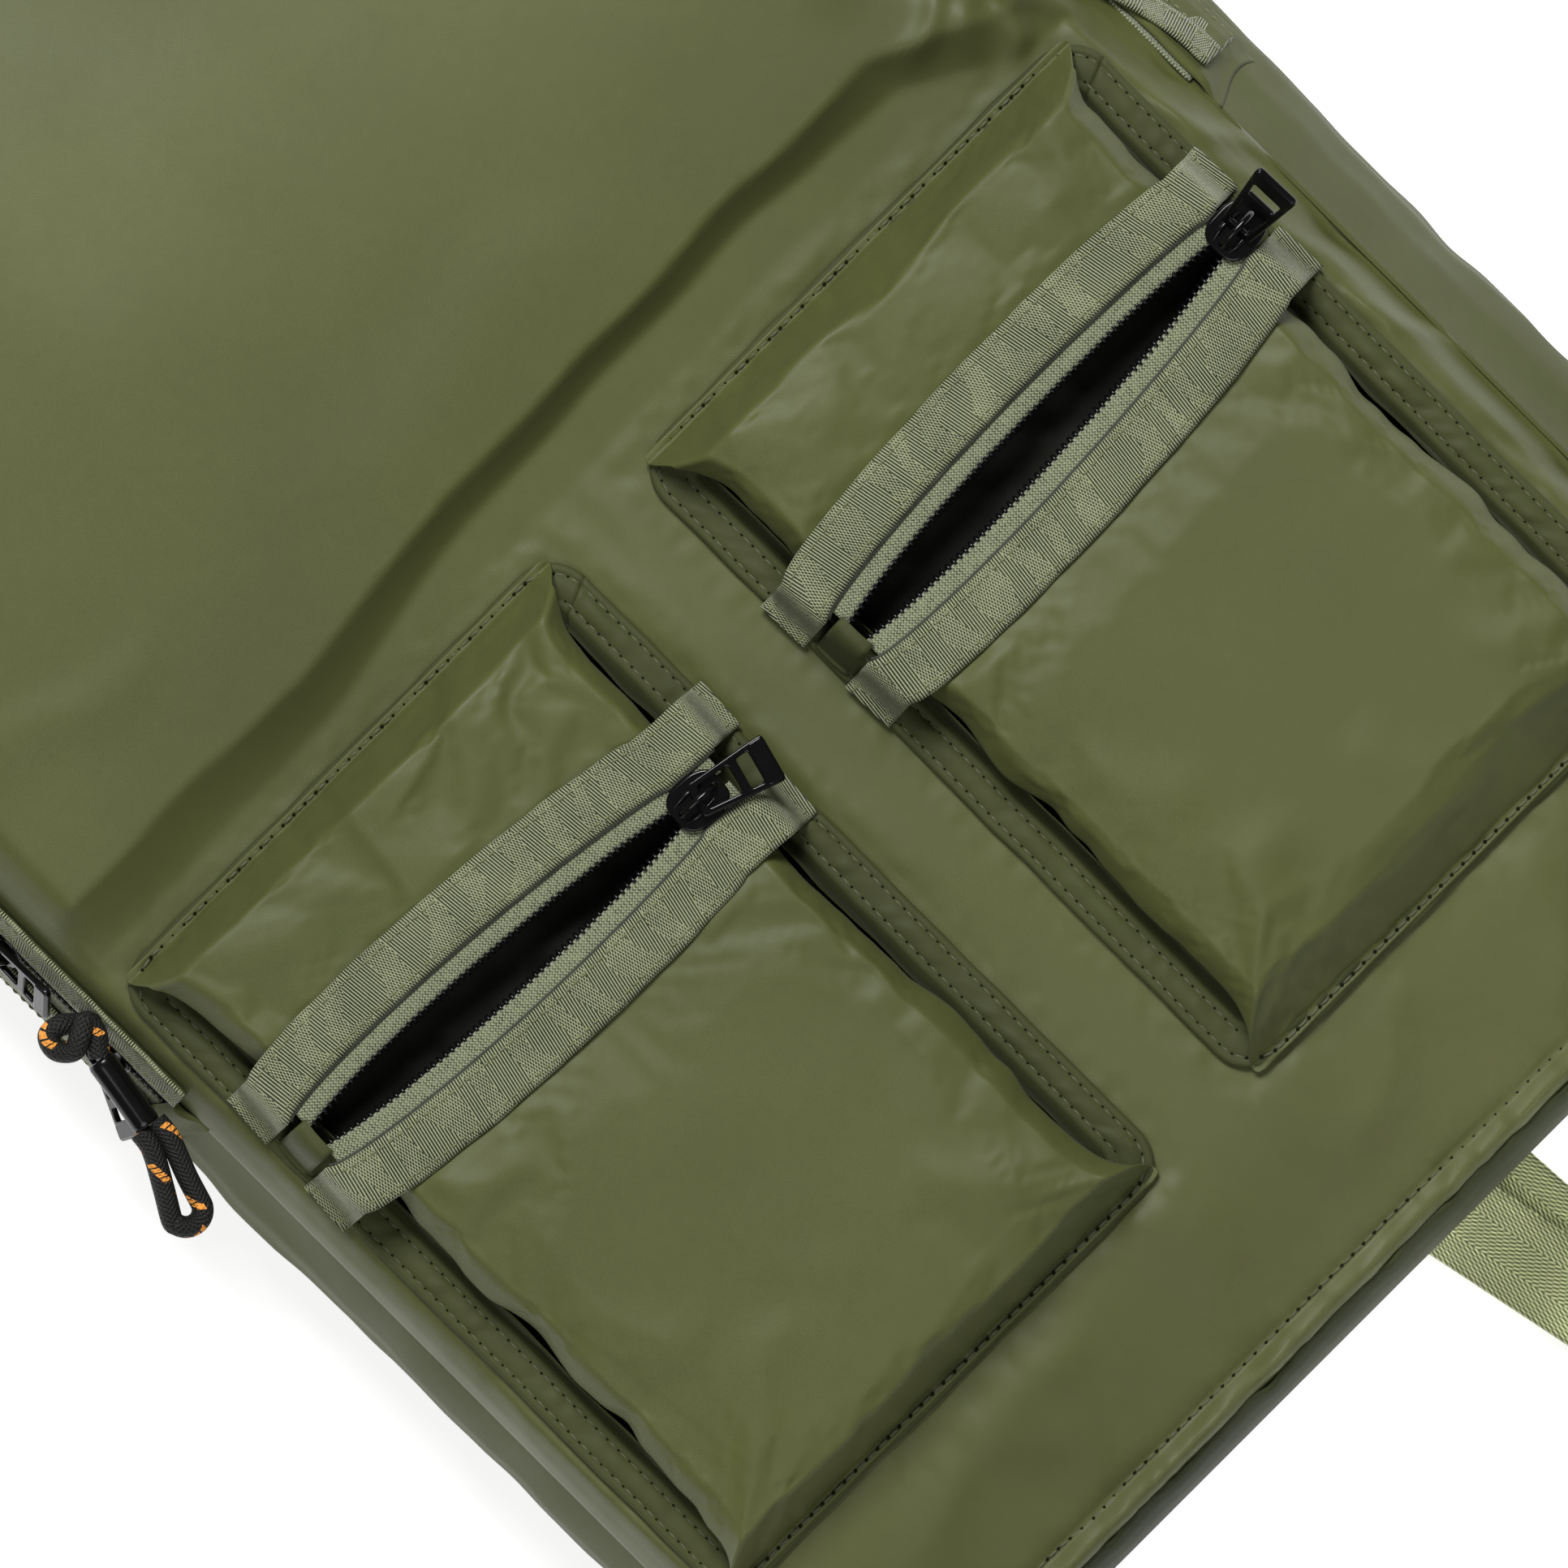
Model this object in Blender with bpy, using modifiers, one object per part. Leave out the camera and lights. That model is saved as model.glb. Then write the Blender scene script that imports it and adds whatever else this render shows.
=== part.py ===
"""A soft nylon sack lying on its back, with two cargo pockets, a long zip over the top and a sling.

The sack is drawn in millimetres: x across, y from its bottom edge towards its top, z up out of its front.
place() turns those into metres about the frame's origin, which is the centre of the footprint.
"""

import math

import bmesh
import bpy
from mathutils import Matrix, Vector

MM = 0.001
GAP = 0.35  # between pieces that meet

# The body
HALF_WIDTH = 206.5
LENGTH = 600.0
CORNER = 62.0
FABRIC = 1.6
WALL_PROFILE = ((10.0, 11.2), (4.0, 21.0), (1.0, 33.0), (1.2, 46.0), (5.5, 61.0), (19.5, 89.0), (21.0, 95.0))
LEAN = 6.5  # the filled front settles this far to the left of the back
LEAN_FROM, LEAN_TO = 20.0, 90.0
BACK_INSET, BACK_THICK = 10.0, 10.6
FRONT_INSET, FRONT_Z = 20.0, 96.4
CREASE_Y, CREASE_GAP = 318.5, 2.4
CROWN, CREASE_LIFT = 15.0, 7.0

# The long zip over the top, on the shoulder between the side walls and the front
ZIP_CENTRE = 0.5  # of the way along the slanting stretch of the wall's profile
ZIP_LEFT_END, ZIP_RIGHT_END = 262.0, 264.0
SLIT = 1.6  # half the gap that a slider's post runs in
TAPE_WIDE, TAPE_THICK = 8.0, 1.0
TAPE_SEEN = 6.0
TRIM_WIDE, TRIM_THICK, TRIM_LIFT, WALL_TRIM_LIFT = 15.5, 1.2, 1.5, 2.0
COIL_RADIUS, COIL_DROP = 0.9, 1.6

# The pockets
POCKET_X = (-105.0, 88.5)
POCKET_HALF = 82.0
POCKET_LOW, POCKET_HIGH, POCKET_ZIP = 65.0, 296.0, 225.0
POCKET_TILT = (-3.5, 1.7)  # degrees
POCKET_CORNER = 18.0
FLANGE_Z, FLANGE_THICK, FLANGE_WIDE = 98.1, 1.2, 9.5
POCKET_WALL_TOP = 111.0
FACE_INSET, FACE_EDGE_Z, TAPE_Z = 8.5, 112.3, 117.0
SWELL_OVER = 40.0  # from a face's edge to its full height
MOUTH_HALF, MOUTH_FROM = 6.8, -74.0
SLIDER_AT = (62.0, 74.0)
PULL_YAW = (-11.5, 0.0)
PULL_PITCH = (-2.0, 50.0)

# Sliders and pulls
PLATE_LONG, PLATE_WIDE, PLATE_TAIL, PLATE_THICK = 16.0, 13.5, 9.5, 1.6
PLATE_TOP, PLATE_LOW = 2.5, -4.4
POST_HALF, POST_FROM, POST_TO = 1.1, -7.2, -3.0
ARCH_LEG, ARCH_TOP, ARCH_RADIUS = 4.4, 6.8, 0.9
HINGE_UP = 4.2
PULL_LONG, PULL_NEAR, PULL_FAR, PULL_THICK, PULL_RAIL = 23.0, 5.0, 7.0, 1.8, 1.9
PULL_BAR_AT, PULL_BAR_WIDE, PULL_END_WIDE = 11.5, 2.1, 5.2

# The sliders of the long zip: y, turned end for end, the pull's yaw and pitch
UPPER_SLIDER = (326.0, 1.0, -162.0, 8.0)
LOWER_SLIDER = (285.0, -1.0, -12.0, 20.0)
CORD = 6.0
SLEEVE_RADIUS = 3.8
SLEEVE = ((-203.5, 284.5, 90.0), (-207.0, 263.5, 88.5))
KNOT_AT, KNOT_RADII = (-202.8, 291.6, 89.6), (6.0, 5.4, 5.4)
LOOP_END = (-216.5, 237.0, 84.0)

# The sling
STRAP_WIDE, STRAP_THICK = 25.0, 1.7
STRAP_X, STRAP_TURN = 21.0, 11.6  # where it leaves the bottom edge, and its angle to the sack's length
STRAP_FOLD_Y = -100.0
GROOVE_WIDE, GROOVE_DEEP = 30.0, 2.6
ADJUSTER_Y = -62.0
ADJUSTER = (19.0, 11.5)  # half its width and half its length
LOOP_HALF, LOOP_OUT, LOOP_LOW, LOOP_HIGH = 42.0, 627.0, 4.0, 24.0

LEFTMOST_X, RIGHTMOST_X = -215.4, 205.7  # the lower pull's tip and the right wall
LOWEST_Y, HIGHEST_Y = STRAP_FOLD_Y - 4.3, LOOP_OUT + FABRIC / 2
ORIGIN_X = (LEFTMOST_X + RIGHTMOST_X) / 2
ORIGIN_Y = (LOWEST_Y + HIGHEST_Y) / 2

OLIVE = ((0.125, 0.142, 0.048), 0.42, 0.0)
SHADED_OLIVE = ((0.075, 0.088, 0.034), 0.5, 0.0)
WEBBING = ((0.155, 0.180, 0.095), 0.7, 0.0)
STRAP_GREEN = ((0.300, 0.370, 0.130), 0.7, 0.0)
BLACK_METAL = ((0.008, 0.008, 0.008), 0.22, 0.6)
BLACK_PLASTIC = ((0.010, 0.010, 0.010), 0.3, 0.0)
BLACK_CORD = ((0.012, 0.012, 0.011), 0.8, 0.0)

for old in list(bpy.data.objects):
    bpy.data.objects.remove(old)
PARTS = bpy.data.collections.new("sack")
CUTTERS = bpy.data.collections.new("cutters")
bpy.context.scene.collection.children.link(PARTS)
bpy.context.scene.collection.children.link(CUTTERS)


def place(x, y, z):
    return Vector((x - ORIGIN_X, y - ORIGIN_Y, z)) * MM


def material(look):
    """The material of a colour, roughness and metallic value, made once."""
    colour, roughness, metallic = look
    name = "finish_" + "_".join(f"{round(1000 * c):03d}" for c in colour)
    made = bpy.data.materials.get(name)
    if made is None:
        made = bpy.data.materials.new(name)
        made.use_nodes = True
        shader = made.node_tree.nodes["Principled BSDF"]
        shader.inputs["Base Color"].default_value = (*colour, 1.0)
        shader.inputs["Roughness"].default_value = roughness
        shader.inputs["Metallic"].default_value = metallic
    return made


def add(name, data, look, collection=None):
    obj = bpy.data.objects.new(name, data)
    data.materials.append(material(look))
    (collection or PARTS).objects.link(obj)
    return obj


def sheet(name, rows, thickness, look, closed=False):
    """A sewn panel or ribbon: a grid bent through rows of points in metres, with a thickness about it."""
    bm = bmesh.new()
    bmesh.ops.create_grid(bm, x_segments=len(rows[0]) - 1, y_segments=len(rows) - 1, size=1.0)
    ordered = sorted(bm.verts, key=lambda v: (round(v.co.y, 5), round(v.co.x, 5)))
    for vert, point in zip(ordered, (p for row in rows for p in row)):
        vert.co = point
    if closed:
        bmesh.ops.remove_doubles(bm, verts=bm.verts, dist=0.00001)
    mesh = bpy.data.meshes.new(name)
    bm.to_mesh(mesh)
    bm.free()
    obj = add(name, mesh, look)
    solid = obj.modifiers.new("thickness", "SOLIDIFY")
    solid.thickness = thickness * MM
    solid.offset = 0.0
    solid.use_even_offset = True
    return obj


def tube(name, points, radius, look, resolution=2):
    """A rod or cord through points in metres."""
    curve = bpy.data.curves.new(name, "CURVE")
    curve.dimensions = "3D"
    spline = curve.splines.new("POLY")
    spline.points.add(len(points) - 1)
    for target, point in zip(spline.points, points):
        target.co = (*point, 1.0)
    curve.bevel_depth = radius * MM
    curve.bevel_resolution = resolution
    curve.use_fill_caps = True
    curve.render_resolution_u = 0
    return add(name, curve, look)


def smooth(points, count):
    """Points evenly along a smooth curve through a route's own points."""
    ends = [2 * points[0] - points[1], *points, 2 * points[-1] - points[-2]]
    spans = len(points) - 1
    result = []
    for i in range(count):
        t = i / (count - 1) * spans
        k = min(int(t), spans - 1)
        f = t - k
        a, b, c, d = ends[k : k + 4]
        result.append(
            0.5 * (2 * b + (c - a) * f + (2 * a - 5 * b + 4 * c - d) * f**2 + (3 * b - a - 3 * c + d) * f**3)
        )
    return result


def block(name, low, high, look, collection=None):
    """A box between two corners, in millimetres."""
    bm = bmesh.new()
    bmesh.ops.create_cube(bm, size=1.0)
    size = [b - a for a, b in zip(low, high)]
    middle = [(a + b) / 2 for a, b in zip(low, high)]
    bmesh.ops.scale(bm, vec=Vector(size) * MM, verts=bm.verts)
    bmesh.ops.translate(bm, vec=Vector(middle) * MM, verts=bm.verts)
    mesh = bpy.data.meshes.new(name)
    bm.to_mesh(mesh)
    bm.free()
    return add(name, mesh, look, collection)


def plate(name, outline, low, high, look, collection=None):
    """A flat plate of an outline in millimetres, between two heights."""
    curve = bpy.data.curves.new(name, "CURVE")
    curve.dimensions = "2D"
    curve.fill_mode = "BOTH"
    curve.extrude = (high - low) / 2 * MM
    spline = curve.splines.new("POLY")
    spline.points.add(len(outline) - 1)
    for target, (x, y) in zip(spline.points, outline):
        target.co = (x * MM, y * MM, 0.0, 1.0)
    spline.use_cyclic_u = True
    obj = add(name, curve, look, collection)
    obj.location.z = (low + high) / 2 * MM
    return obj


def as_mesh(obj):
    """A curve object made a welded mesh object in the same place."""
    bpy.context.view_layer.update()
    held = obj.evaluated_get(bpy.context.evaluated_depsgraph_get())
    mesh = bpy.data.meshes.new_from_object(held)
    mesh.transform(obj.matrix_world)
    bm = bmesh.new()
    bm.from_mesh(mesh)
    bmesh.ops.remove_doubles(bm, verts=bm.verts, dist=0.00001)
    bmesh.ops.recalc_face_normals(bm, faces=bm.faces)
    bm.to_mesh(mesh)
    bm.free()
    name, home = obj.name, obj.users_collection[0]
    bpy.data.objects.remove(obj)
    made = bpy.data.objects.new(name, mesh)
    home.objects.link(made)
    return made


def combine(base, others, operation):
    """The base joined with, or cut by, other mesh objects, which are used up."""
    for other in others:
        step = base.modifiers.new(operation.lower(), "BOOLEAN")
        step.operation = operation
        step.solver = "EXACT"
        step.object = other
        base = as_mesh(base)
        bpy.data.objects.remove(other)
    return base


def rounded_box(half_x, half_y, radius, steps=3):
    """A rectangle's outline with round corners, anticlockwise about the origin."""
    points = []
    for cx, cy, start in ((1, 1, 0), (-1, 1, 90), (-1, -1, 180), (1, -1, 270)):
        for i in range(steps + 1):
            a = math.radians(start + 90 * i / steps)
            x = cx * (half_x - radius) + radius * math.cos(a)
            points.append((x, cy * (half_y - radius) + radius * math.sin(a)))
    return points


# The body's rim


def rim(s, inset=0.0):
    """A point s along the sack's outline, from the middle of its bottom edge to the right and round."""
    across, up, arc = HALF_WIDTH - CORNER, LENGTH - 2 * CORNER, math.pi / 2 * CORNER
    runs = (across, arc, up, arc, 2 * across, arc, up, arc, across)
    high = LENGTH - CORNER
    starts = {
        0: (0, 0),
        2: (HALF_WIDTH, CORNER),
        4: (across, LENGTH),
        6: (-HALF_WIDTH, high),
        8: (-across, 0),
    }
    centres = {1: (across, CORNER), 3: (across, high), 5: (-across, high), 7: (-across, CORNER)}
    for i, run in enumerate(runs):
        if s <= run or i == len(runs) - 1:
            break
        s -= run
    heading = math.radians(90 * ((i + 1) // 2))
    if i in centres:
        heading = math.radians(90 * (i // 2)) + s / CORNER
        out = Vector((math.sin(heading), -math.cos(heading)))
        return Vector(centres[i]) + out * (CORNER - inset)
    out = Vector((math.sin(heading), -math.cos(heading)))
    along = Vector((math.cos(heading), math.sin(heading)))
    return Vector(starts[i]) + along * s - out * inset


QUARTERS = HALF_WIDTH - CORNER, math.pi / 2 * CORNER, LENGTH - 2 * CORNER
RIGHT_START = QUARTERS[0] + QUARTERS[1]
TOP_START = RIGHT_START + QUARTERS[2] + QUARTERS[1]
LEFT_START = TOP_START + 2 * QUARTERS[0] + QUARTERS[1]
ROUND = LEFT_START + QUARTERS[2] + QUARTERS[1] + QUARTERS[0]
ZIP_START = RIGHT_START + ZIP_RIGHT_END - CORNER
ZIP_FINISH = LEFT_START + LENGTH - CORNER - ZIP_LEFT_END


def stations(first, last):
    """Places along the rim that follow its corners closely and its straights coarsely."""
    marks = {first, last}
    s = 0.0
    for run, parts in ((0, 2), (1, 6), (2, 5), (1, 6), (0, 5), (1, 6), (2, 5), (1, 6), (0, 2)):
        length = QUARTERS[run] * (2 if parts == 5 and run == 0 else 1)
        marks |= {s + length * i / parts for i in range(parts + 1)}
        s += length
    inside = sorted(m for m in marks if first <= m <= last)
    kept = [inside[0]]
    for m in inside[1:]:
        if m - kept[-1] > 1.0:
            kept.append(m)
    kept[-1] = last
    return kept


def lean(z):
    t = min(1.0, max(0.0, (z - LEAN_FROM) / (LEAN_TO - LEAN_FROM)))
    return -LEAN * t * t * (3 - 2 * t)


def profile(d, out=0.0):
    """Inset and height at d along the wall from the long zip's line, positive towards the front."""
    points = [Vector(p) for p in WALL_PROFILE]
    centre = points[4].lerp(points[5], ZIP_CENTRE)
    if d >= 0:
        route = [centre, *points[5:]]
    else:
        route = [centre, *reversed(points[:5])]
    left = abs(d)
    for a, b in zip(route, route[1:]):
        span = (b - a).length
        if left <= span or b is route[-1]:
            break
        left -= span
    along = (b - a).normalized()
    forward = along if d >= 0 else -along
    outward = Vector((-forward.y, forward.x))
    return a + along * left + outward * out


def shell(s, d, out=0.0):
    inset, z = profile(d, out)
    x, y = rim(s, inset)
    return place(x + lean(z), y, z)


REAR_REACH = sum((Vector(a) - Vector(b)).length for a, b in zip(WALL_PROFILE[:4], WALL_PROFILE[1:5]))
SHOULDER = (Vector(WALL_PROFILE[5]) - Vector(WALL_PROFILE[4])).length
REAR_EDGE = -(REAR_REACH + SHOULDER / 2)
FRONT_EDGE = SHOULDER / 2 + (Vector(WALL_PROFILE[6]) - Vector(WALL_PROFILE[5])).length
SEAM = SLIT + TAPE_WIDE + 0.5


def wall(name, places, low, high):
    """A strip of the sack's wall between two distances from the long zip's line."""
    edges = [REAR_EDGE]
    for a, b in zip(WALL_PROFILE[:4], WALL_PROFILE[1:5]):
        edges.append(edges[-1] + (Vector(a) - Vector(b)).length)
    edges += [SHOULDER / 2, FRONT_EDGE]
    columns = [low, *(e for e in edges if low + 1 < e < high - 1), high]
    sheet(name, [[shell(s % ROUND, d) for d in columns] for s in places], FABRIC, OLIVE)


def body_walls():
    half_arc = QUARTERS[1] / 2
    last_turn = ROUND - QUARTERS[0] - half_arc
    turns = (RIGHT_START - half_arc, TOP_START - half_arc, LEFT_START - half_arc, last_turn)
    for side, first, last in zip(("right", "top", "left"), turns, turns[1:]):
        places = stations(first + GAP, last - GAP)
        wall(f"rear_gusset_{side}", places, REAR_EDGE, -SEAM)
        wall(f"front_gusset_{side}", places, SEAM, FRONT_EDGE)
    band = SEAM - GAP
    wall("zip_band_right", stations(turns[0] + GAP, ZIP_START - GAP), -band, band)
    wall("zip_band_left", stations(ZIP_FINISH + GAP, turns[3] - GAP), -band, band)
    around = [s - ROUND for s in stations(turns[3] + GAP, ROUND)] + stations(0.0, turns[0] - GAP)[1:]
    wall("bottom_gusset", around, REAR_EDGE, FRONT_EDGE)


def back_panel():
    """The padded back, with the hollow that the sling presses into it."""
    half_y = LENGTH / 2 - BACK_INSET
    outline = [
        (x - ORIGIN_X, y + LENGTH / 2 - ORIGIN_Y)
        for x, y in rounded_box(HALF_WIDTH - BACK_INSET, half_y, CORNER - BACK_INSET, 5)
    ]
    panel = as_mesh(plate("back_panel", outline, 0.0, BACK_THICK, SHADED_OLIVE))
    low, high = strap_plan(STRAP_FOLD_Y), strap_plan(LENGTH)
    half = GROOVE_WIDE / 2
    groove = block("groove", (-half, -500, -5), (half, 500, GROOVE_DEEP), BLACK_PLASTIC, CUTTERS)
    groove.location = place((low.x + high.x) / 2, (low.y + high.y) / 2, 0)
    groove.rotation_euler.z = sling_turn()
    bpy.context.view_layer.update()
    groove.data.transform(groove.matrix_world)
    groove.matrix_world = Matrix.Identity(4)
    panel = combine(panel, [groove], "DIFFERENCE")
    panel.data.materials.clear()
    panel.data.materials.append(material(SHADED_OLIVE))


def corner_inset(distance, radius):
    """How far a round corner pulls a side in, at a distance from the end of the panel."""
    if distance >= radius:
        return 0.0
    return radius - math.sqrt(radius**2 - (radius - distance) ** 2)


def front_panels():
    radius = CORNER - FRONT_INSET
    half = HALF_WIDTH - FRONT_INSET
    columns = [-1 + i / 5 for i in range(11)]
    steps = [radius * (1 - math.cos(math.radians(22.5 * i))) for i in range(5)]

    def row(y, from_end, height):
        reach = half - corner_inset(from_end, radius)
        return [place(u * reach - LEAN, y, FRONT_Z + height(u)) for u in columns]

    lower = [row(FRONT_INSET + d, d, lambda u: 0.0) for d in steps]
    span = CREASE_Y - CREASE_GAP / 2 - FRONT_INSET - radius
    lower += [row(FRONT_INSET + radius + span * i / 4, radius, lambda u: 0.0) for i in range(1, 5)]
    sheet("front_panel_lower", lower, FABRIC, OLIVE)

    top = LENGTH - FRONT_INSET
    long = top - CREASE_Y - CREASE_GAP / 2

    def crown(t):
        swell = CREASE_LIFT * (1 - t) + CROWN * math.sin(math.pi * min(1.0, 0.12 + 0.88 * t))
        return lambda u: swell * (1 - abs(u) ** 2.6)

    fractions = [i / 6 * (1 - radius / long) for i in range(7)]
    upper = [row(top - long * (1 - t), radius, crown(t)) for t in fractions]
    upper += [row(top - d, d, crown(1 - d / long)) for d in reversed(steps[:-1])]
    sheet("front_panel_upper", upper, FABRIC, OLIVE)


def long_zip():
    """Two tapes, their coils and the two webbing trims, over the top from side to side."""
    places = stations(ZIP_START, ZIP_FINISH)
    for name, sign in (("rear", -1), ("front", 1)):
        tape = [sign * SLIT, sign * (SLIT + TAPE_WIDE)]
        sheet(f"main_zip_tape_{name}", [[shell(s, d) for d in tape] for s in places], TAPE_THICK, WEBBING)
        inner = SLIT + TAPE_SEEN
        outer = min(inner + TRIM_WIDE, FRONT_EDGE - 2.4) if sign > 0 else inner + TRIM_WIDE
        trim = [sign * inner, sign * (SHOULDER / 2 - 0.2), sign * outer]
        rows = [[shell(s, d, WALL_TRIM_LIFT) for d in trim] for s in places]
        sheet(f"main_zip_trim_{name}", rows, TRIM_THICK, WEBBING)
        line = [shell(s, sign * (SLIT + COIL_RADIUS), -COIL_DROP) for s in places]
        tube(f"main_zip_coil_{name}", line, COIL_RADIUS, BLACK_PLASTIC, 1)
    for side, s, turn in (("right", ZIP_START, -1), ("left", ZIP_FINISH, 1)):
        rows = [[shell(s + turn * e, d, WALL_TRIM_LIFT) for d in (-6.8, 6.8)] for e in (-3.0, 7.0)]
        sheet(f"main_zip_end_{side}", rows, TAPE_THICK, OLIVE)


# The pockets


def mouth(p, slider):
    """Half the width of a pocket's mouth at p along its zip: a lens that closes at the slider."""
    t = (p - MOUTH_FROM) / (slider - 4.0 - MOUTH_FROM)
    if not 0.0 < t < 1.0:
        return SLIT
    return SLIT + (MOUTH_HALF - SLIT) * math.sin(math.pi * t**0.8) ** 0.6


def zip_frame(index):
    """The frame of a pocket's zip: x along it to the right, y across, z out of the pocket."""
    turn = Matrix.Rotation(math.radians(POCKET_TILT[index]), 4, "Z")
    return Matrix.Translation(place(POCKET_X[index], POCKET_ZIP, TAPE_Z)) @ turn


def pocket(index):
    side = ("left", "right")[index]
    centre, slider = POCKET_X[index], SLIDER_AT[index]
    frame = zip_frame(index)
    tilt = math.tan(math.radians(POCKET_TILT[index]))

    def at(p, q, z):
        return frame @ (Vector((p, q, z)) * MM)

    middle = (POCKET_LOW + POCKET_HIGH) / 2
    ring = ((0.0, 0.0), (FLANGE_WIDE, 0.0), (FLANGE_WIDE, POCKET_WALL_TOP - FLANGE_Z))
    rows = []
    for inset, up in ring:
        half_y = (POCKET_HIGH - POCKET_LOW) / 2 - inset
        around = rounded_box(POCKET_HALF - inset, half_y, POCKET_CORNER - inset, 4)
        around.append(around[0])
        rows.append([place(centre + x, middle + y, FLANGE_Z + up) for x, y in around])
    sheet(f"pocket_{side}_gusset", rows, FLANGE_THICK, SHADED_OLIVE, closed=True)

    columns = [-1.0, -0.9, -0.7, -0.4, 0.0, 0.4, 0.7, 0.9, 1.0]
    depths = (0.0, 3.0, 9.0, 18.0)
    ends = (("upper", POCKET_HIGH - FACE_INSET, 1), ("lower", POCKET_LOW + FACE_INSET, -1))
    for part, outer, sign in ends:
        rows = []
        for step in (*depths, 0.45, 0.72, 0.9, 1.0):
            row = []
            for u in columns:
                p = u * (POCKET_HALF - FACE_INSET)
                seam = POCKET_ZIP + p * tilt + sign * (mouth(p, slider) + TAPE_WIDE + 0.6)
                deep = abs(outer - seam)
                d = step if step > 1.0 or step == 0.0 else step * deep
                reach = POCKET_HALF - FACE_INSET - corner_inset(d, POCKET_CORNER - 4)
                swell = math.sin(min(1.0, d / SWELL_OVER) * math.pi / 2)
                rise = (TAPE_Z - FACE_EDGE_Z) * (1 - abs(u) ** 5) * swell
                row.append(place(centre + u * reach, outer - sign * d, FACE_EDGE_Z + rise))
            rows.append(row)
        sheet(f"pocket_{side}_face_{part}", rows, FABRIC, OLIVE)

    flat = [i * 11.0 for i in range(-6, 7)]
    fold = ((72.0, 1.5), (75.5, -1.5), (77.3, -8.0), (78.8, -14.5), (82.4, -16.9))
    for part, sign in (("upper", 1), ("lower", -1)):
        run = [-71.0, *flat, 71.0]
        tape = [[at(p, sign * (mouth(p, slider) + q), 0.0) for q in (0.0, TAPE_WIDE)] for p in run]
        sheet(f"pocket_{side}_zip_tape_{part}", tape, TAPE_THICK, WEBBING)
        line = [at(p, sign * (mouth(p, slider) + COIL_RADIUS), -COIL_DROP) for p in run]
        tube(f"pocket_{side}_zip_coil_{part}", line, COIL_RADIUS, BLACK_PLASTIC, 1)
        path = [(-p, z) for p, z in reversed(fold)] + [(p, TRIM_LIFT) for p in flat] + list(fold)
        trim = []
        for p, z in path:
            inner = mouth(p, slider) + TAPE_SEEN
            trim.append([at(p, sign * (inner + q), z) for q in (0.0, TRIM_WIDE)])
        sheet(f"pocket_{side}_zip_trim_{part}", trim, TRIM_THICK, WEBBING)
    droop = ((-71.9, 0.6), (-76.0, -3.0), (-77.8, -10.0), (-79.5, -15.8))
    tab = [[at(p, q, z) for q in (-6.0, 6.0)] for p, z in droop]
    sheet(f"pocket_{side}_zip_end_tab", tab, TAPE_THICK, OLIVE)

    home = frame @ Matrix.Translation(Vector((slider, 0, 0)) * MM)
    zip_slider(f"pocket_{side}_slider", home)
    yaw, pitch = PULL_YAW[index], PULL_PITCH[index]
    ladder_pull(f"pocket_{side}_pull", home @ hinge(yaw, pitch))


# Sliders and pulls


def hinge(yaw, pitch):
    """From a slider's frame to its pull's: up to the hinge, turned, and lifted by pitch degrees."""
    lift = Matrix.Translation(Vector((0, 0, HINGE_UP)) * MM)
    return lift @ Matrix.Rotation(math.radians(yaw), 4, "Z") @ Matrix.Rotation(math.radians(-pitch), 4, "Y")


def set_down(obj, frame, look):
    """Puts a piece made at the origin in its place, with its material."""
    obj.matrix_world = frame
    obj.data.materials.clear()
    obj.data.materials.append(material(look))


def zip_slider(name, frame):
    """Two plates joined by a post on the open side, and an arch on top for the pull."""
    nose, tail, side = -PLATE_LONG / 2, PLATE_LONG / 2, PLATE_WIDE / 2
    outline = [
        (tail, -PLATE_TAIL / 2),
        (tail, PLATE_TAIL / 2),
        (2.0, side),
        (nose + 2.5, side),
        (nose, side - 2.5),
        (nose, -side + 2.5),
        (nose + 2.5, -side),
        (2.0, -side),
    ]
    top = as_mesh(plate(name, outline, PLATE_TOP - PLATE_THICK, PLATE_TOP, BLACK_METAL))
    low = as_mesh(plate("low", outline, PLATE_LOW, PLATE_LOW + PLATE_THICK, BLACK_METAL, CUTTERS))
    post_low = (POST_FROM, -POST_HALF, PLATE_LOW + 0.8)
    post = block("post", post_low, (POST_TO, POST_HALF, PLATE_TOP - 0.8), BLACK_METAL)
    route = [
        Vector((-ARCH_LEG - 0.2, 0, PLATE_TOP - 0.8)),
        Vector((-ARCH_LEG, 0, HINGE_UP)),
        Vector((-3.1, 0, ARCH_TOP - 0.8)),
        Vector((0, 0, ARCH_TOP)),
        Vector((3.1, 0, ARCH_TOP - 0.8)),
        Vector((ARCH_LEG, 0, HINGE_UP)),
        Vector((ARCH_LEG + 0.2, 0, PLATE_TOP - 0.8)),
    ]
    arch = as_mesh(tube("arch", [p * MM for p in smooth(route, 9)], ARCH_RADIUS, BLACK_METAL, 1))
    set_down(combine(top, [low, post, arch], "UNION"), frame, BLACK_METAL)


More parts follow.
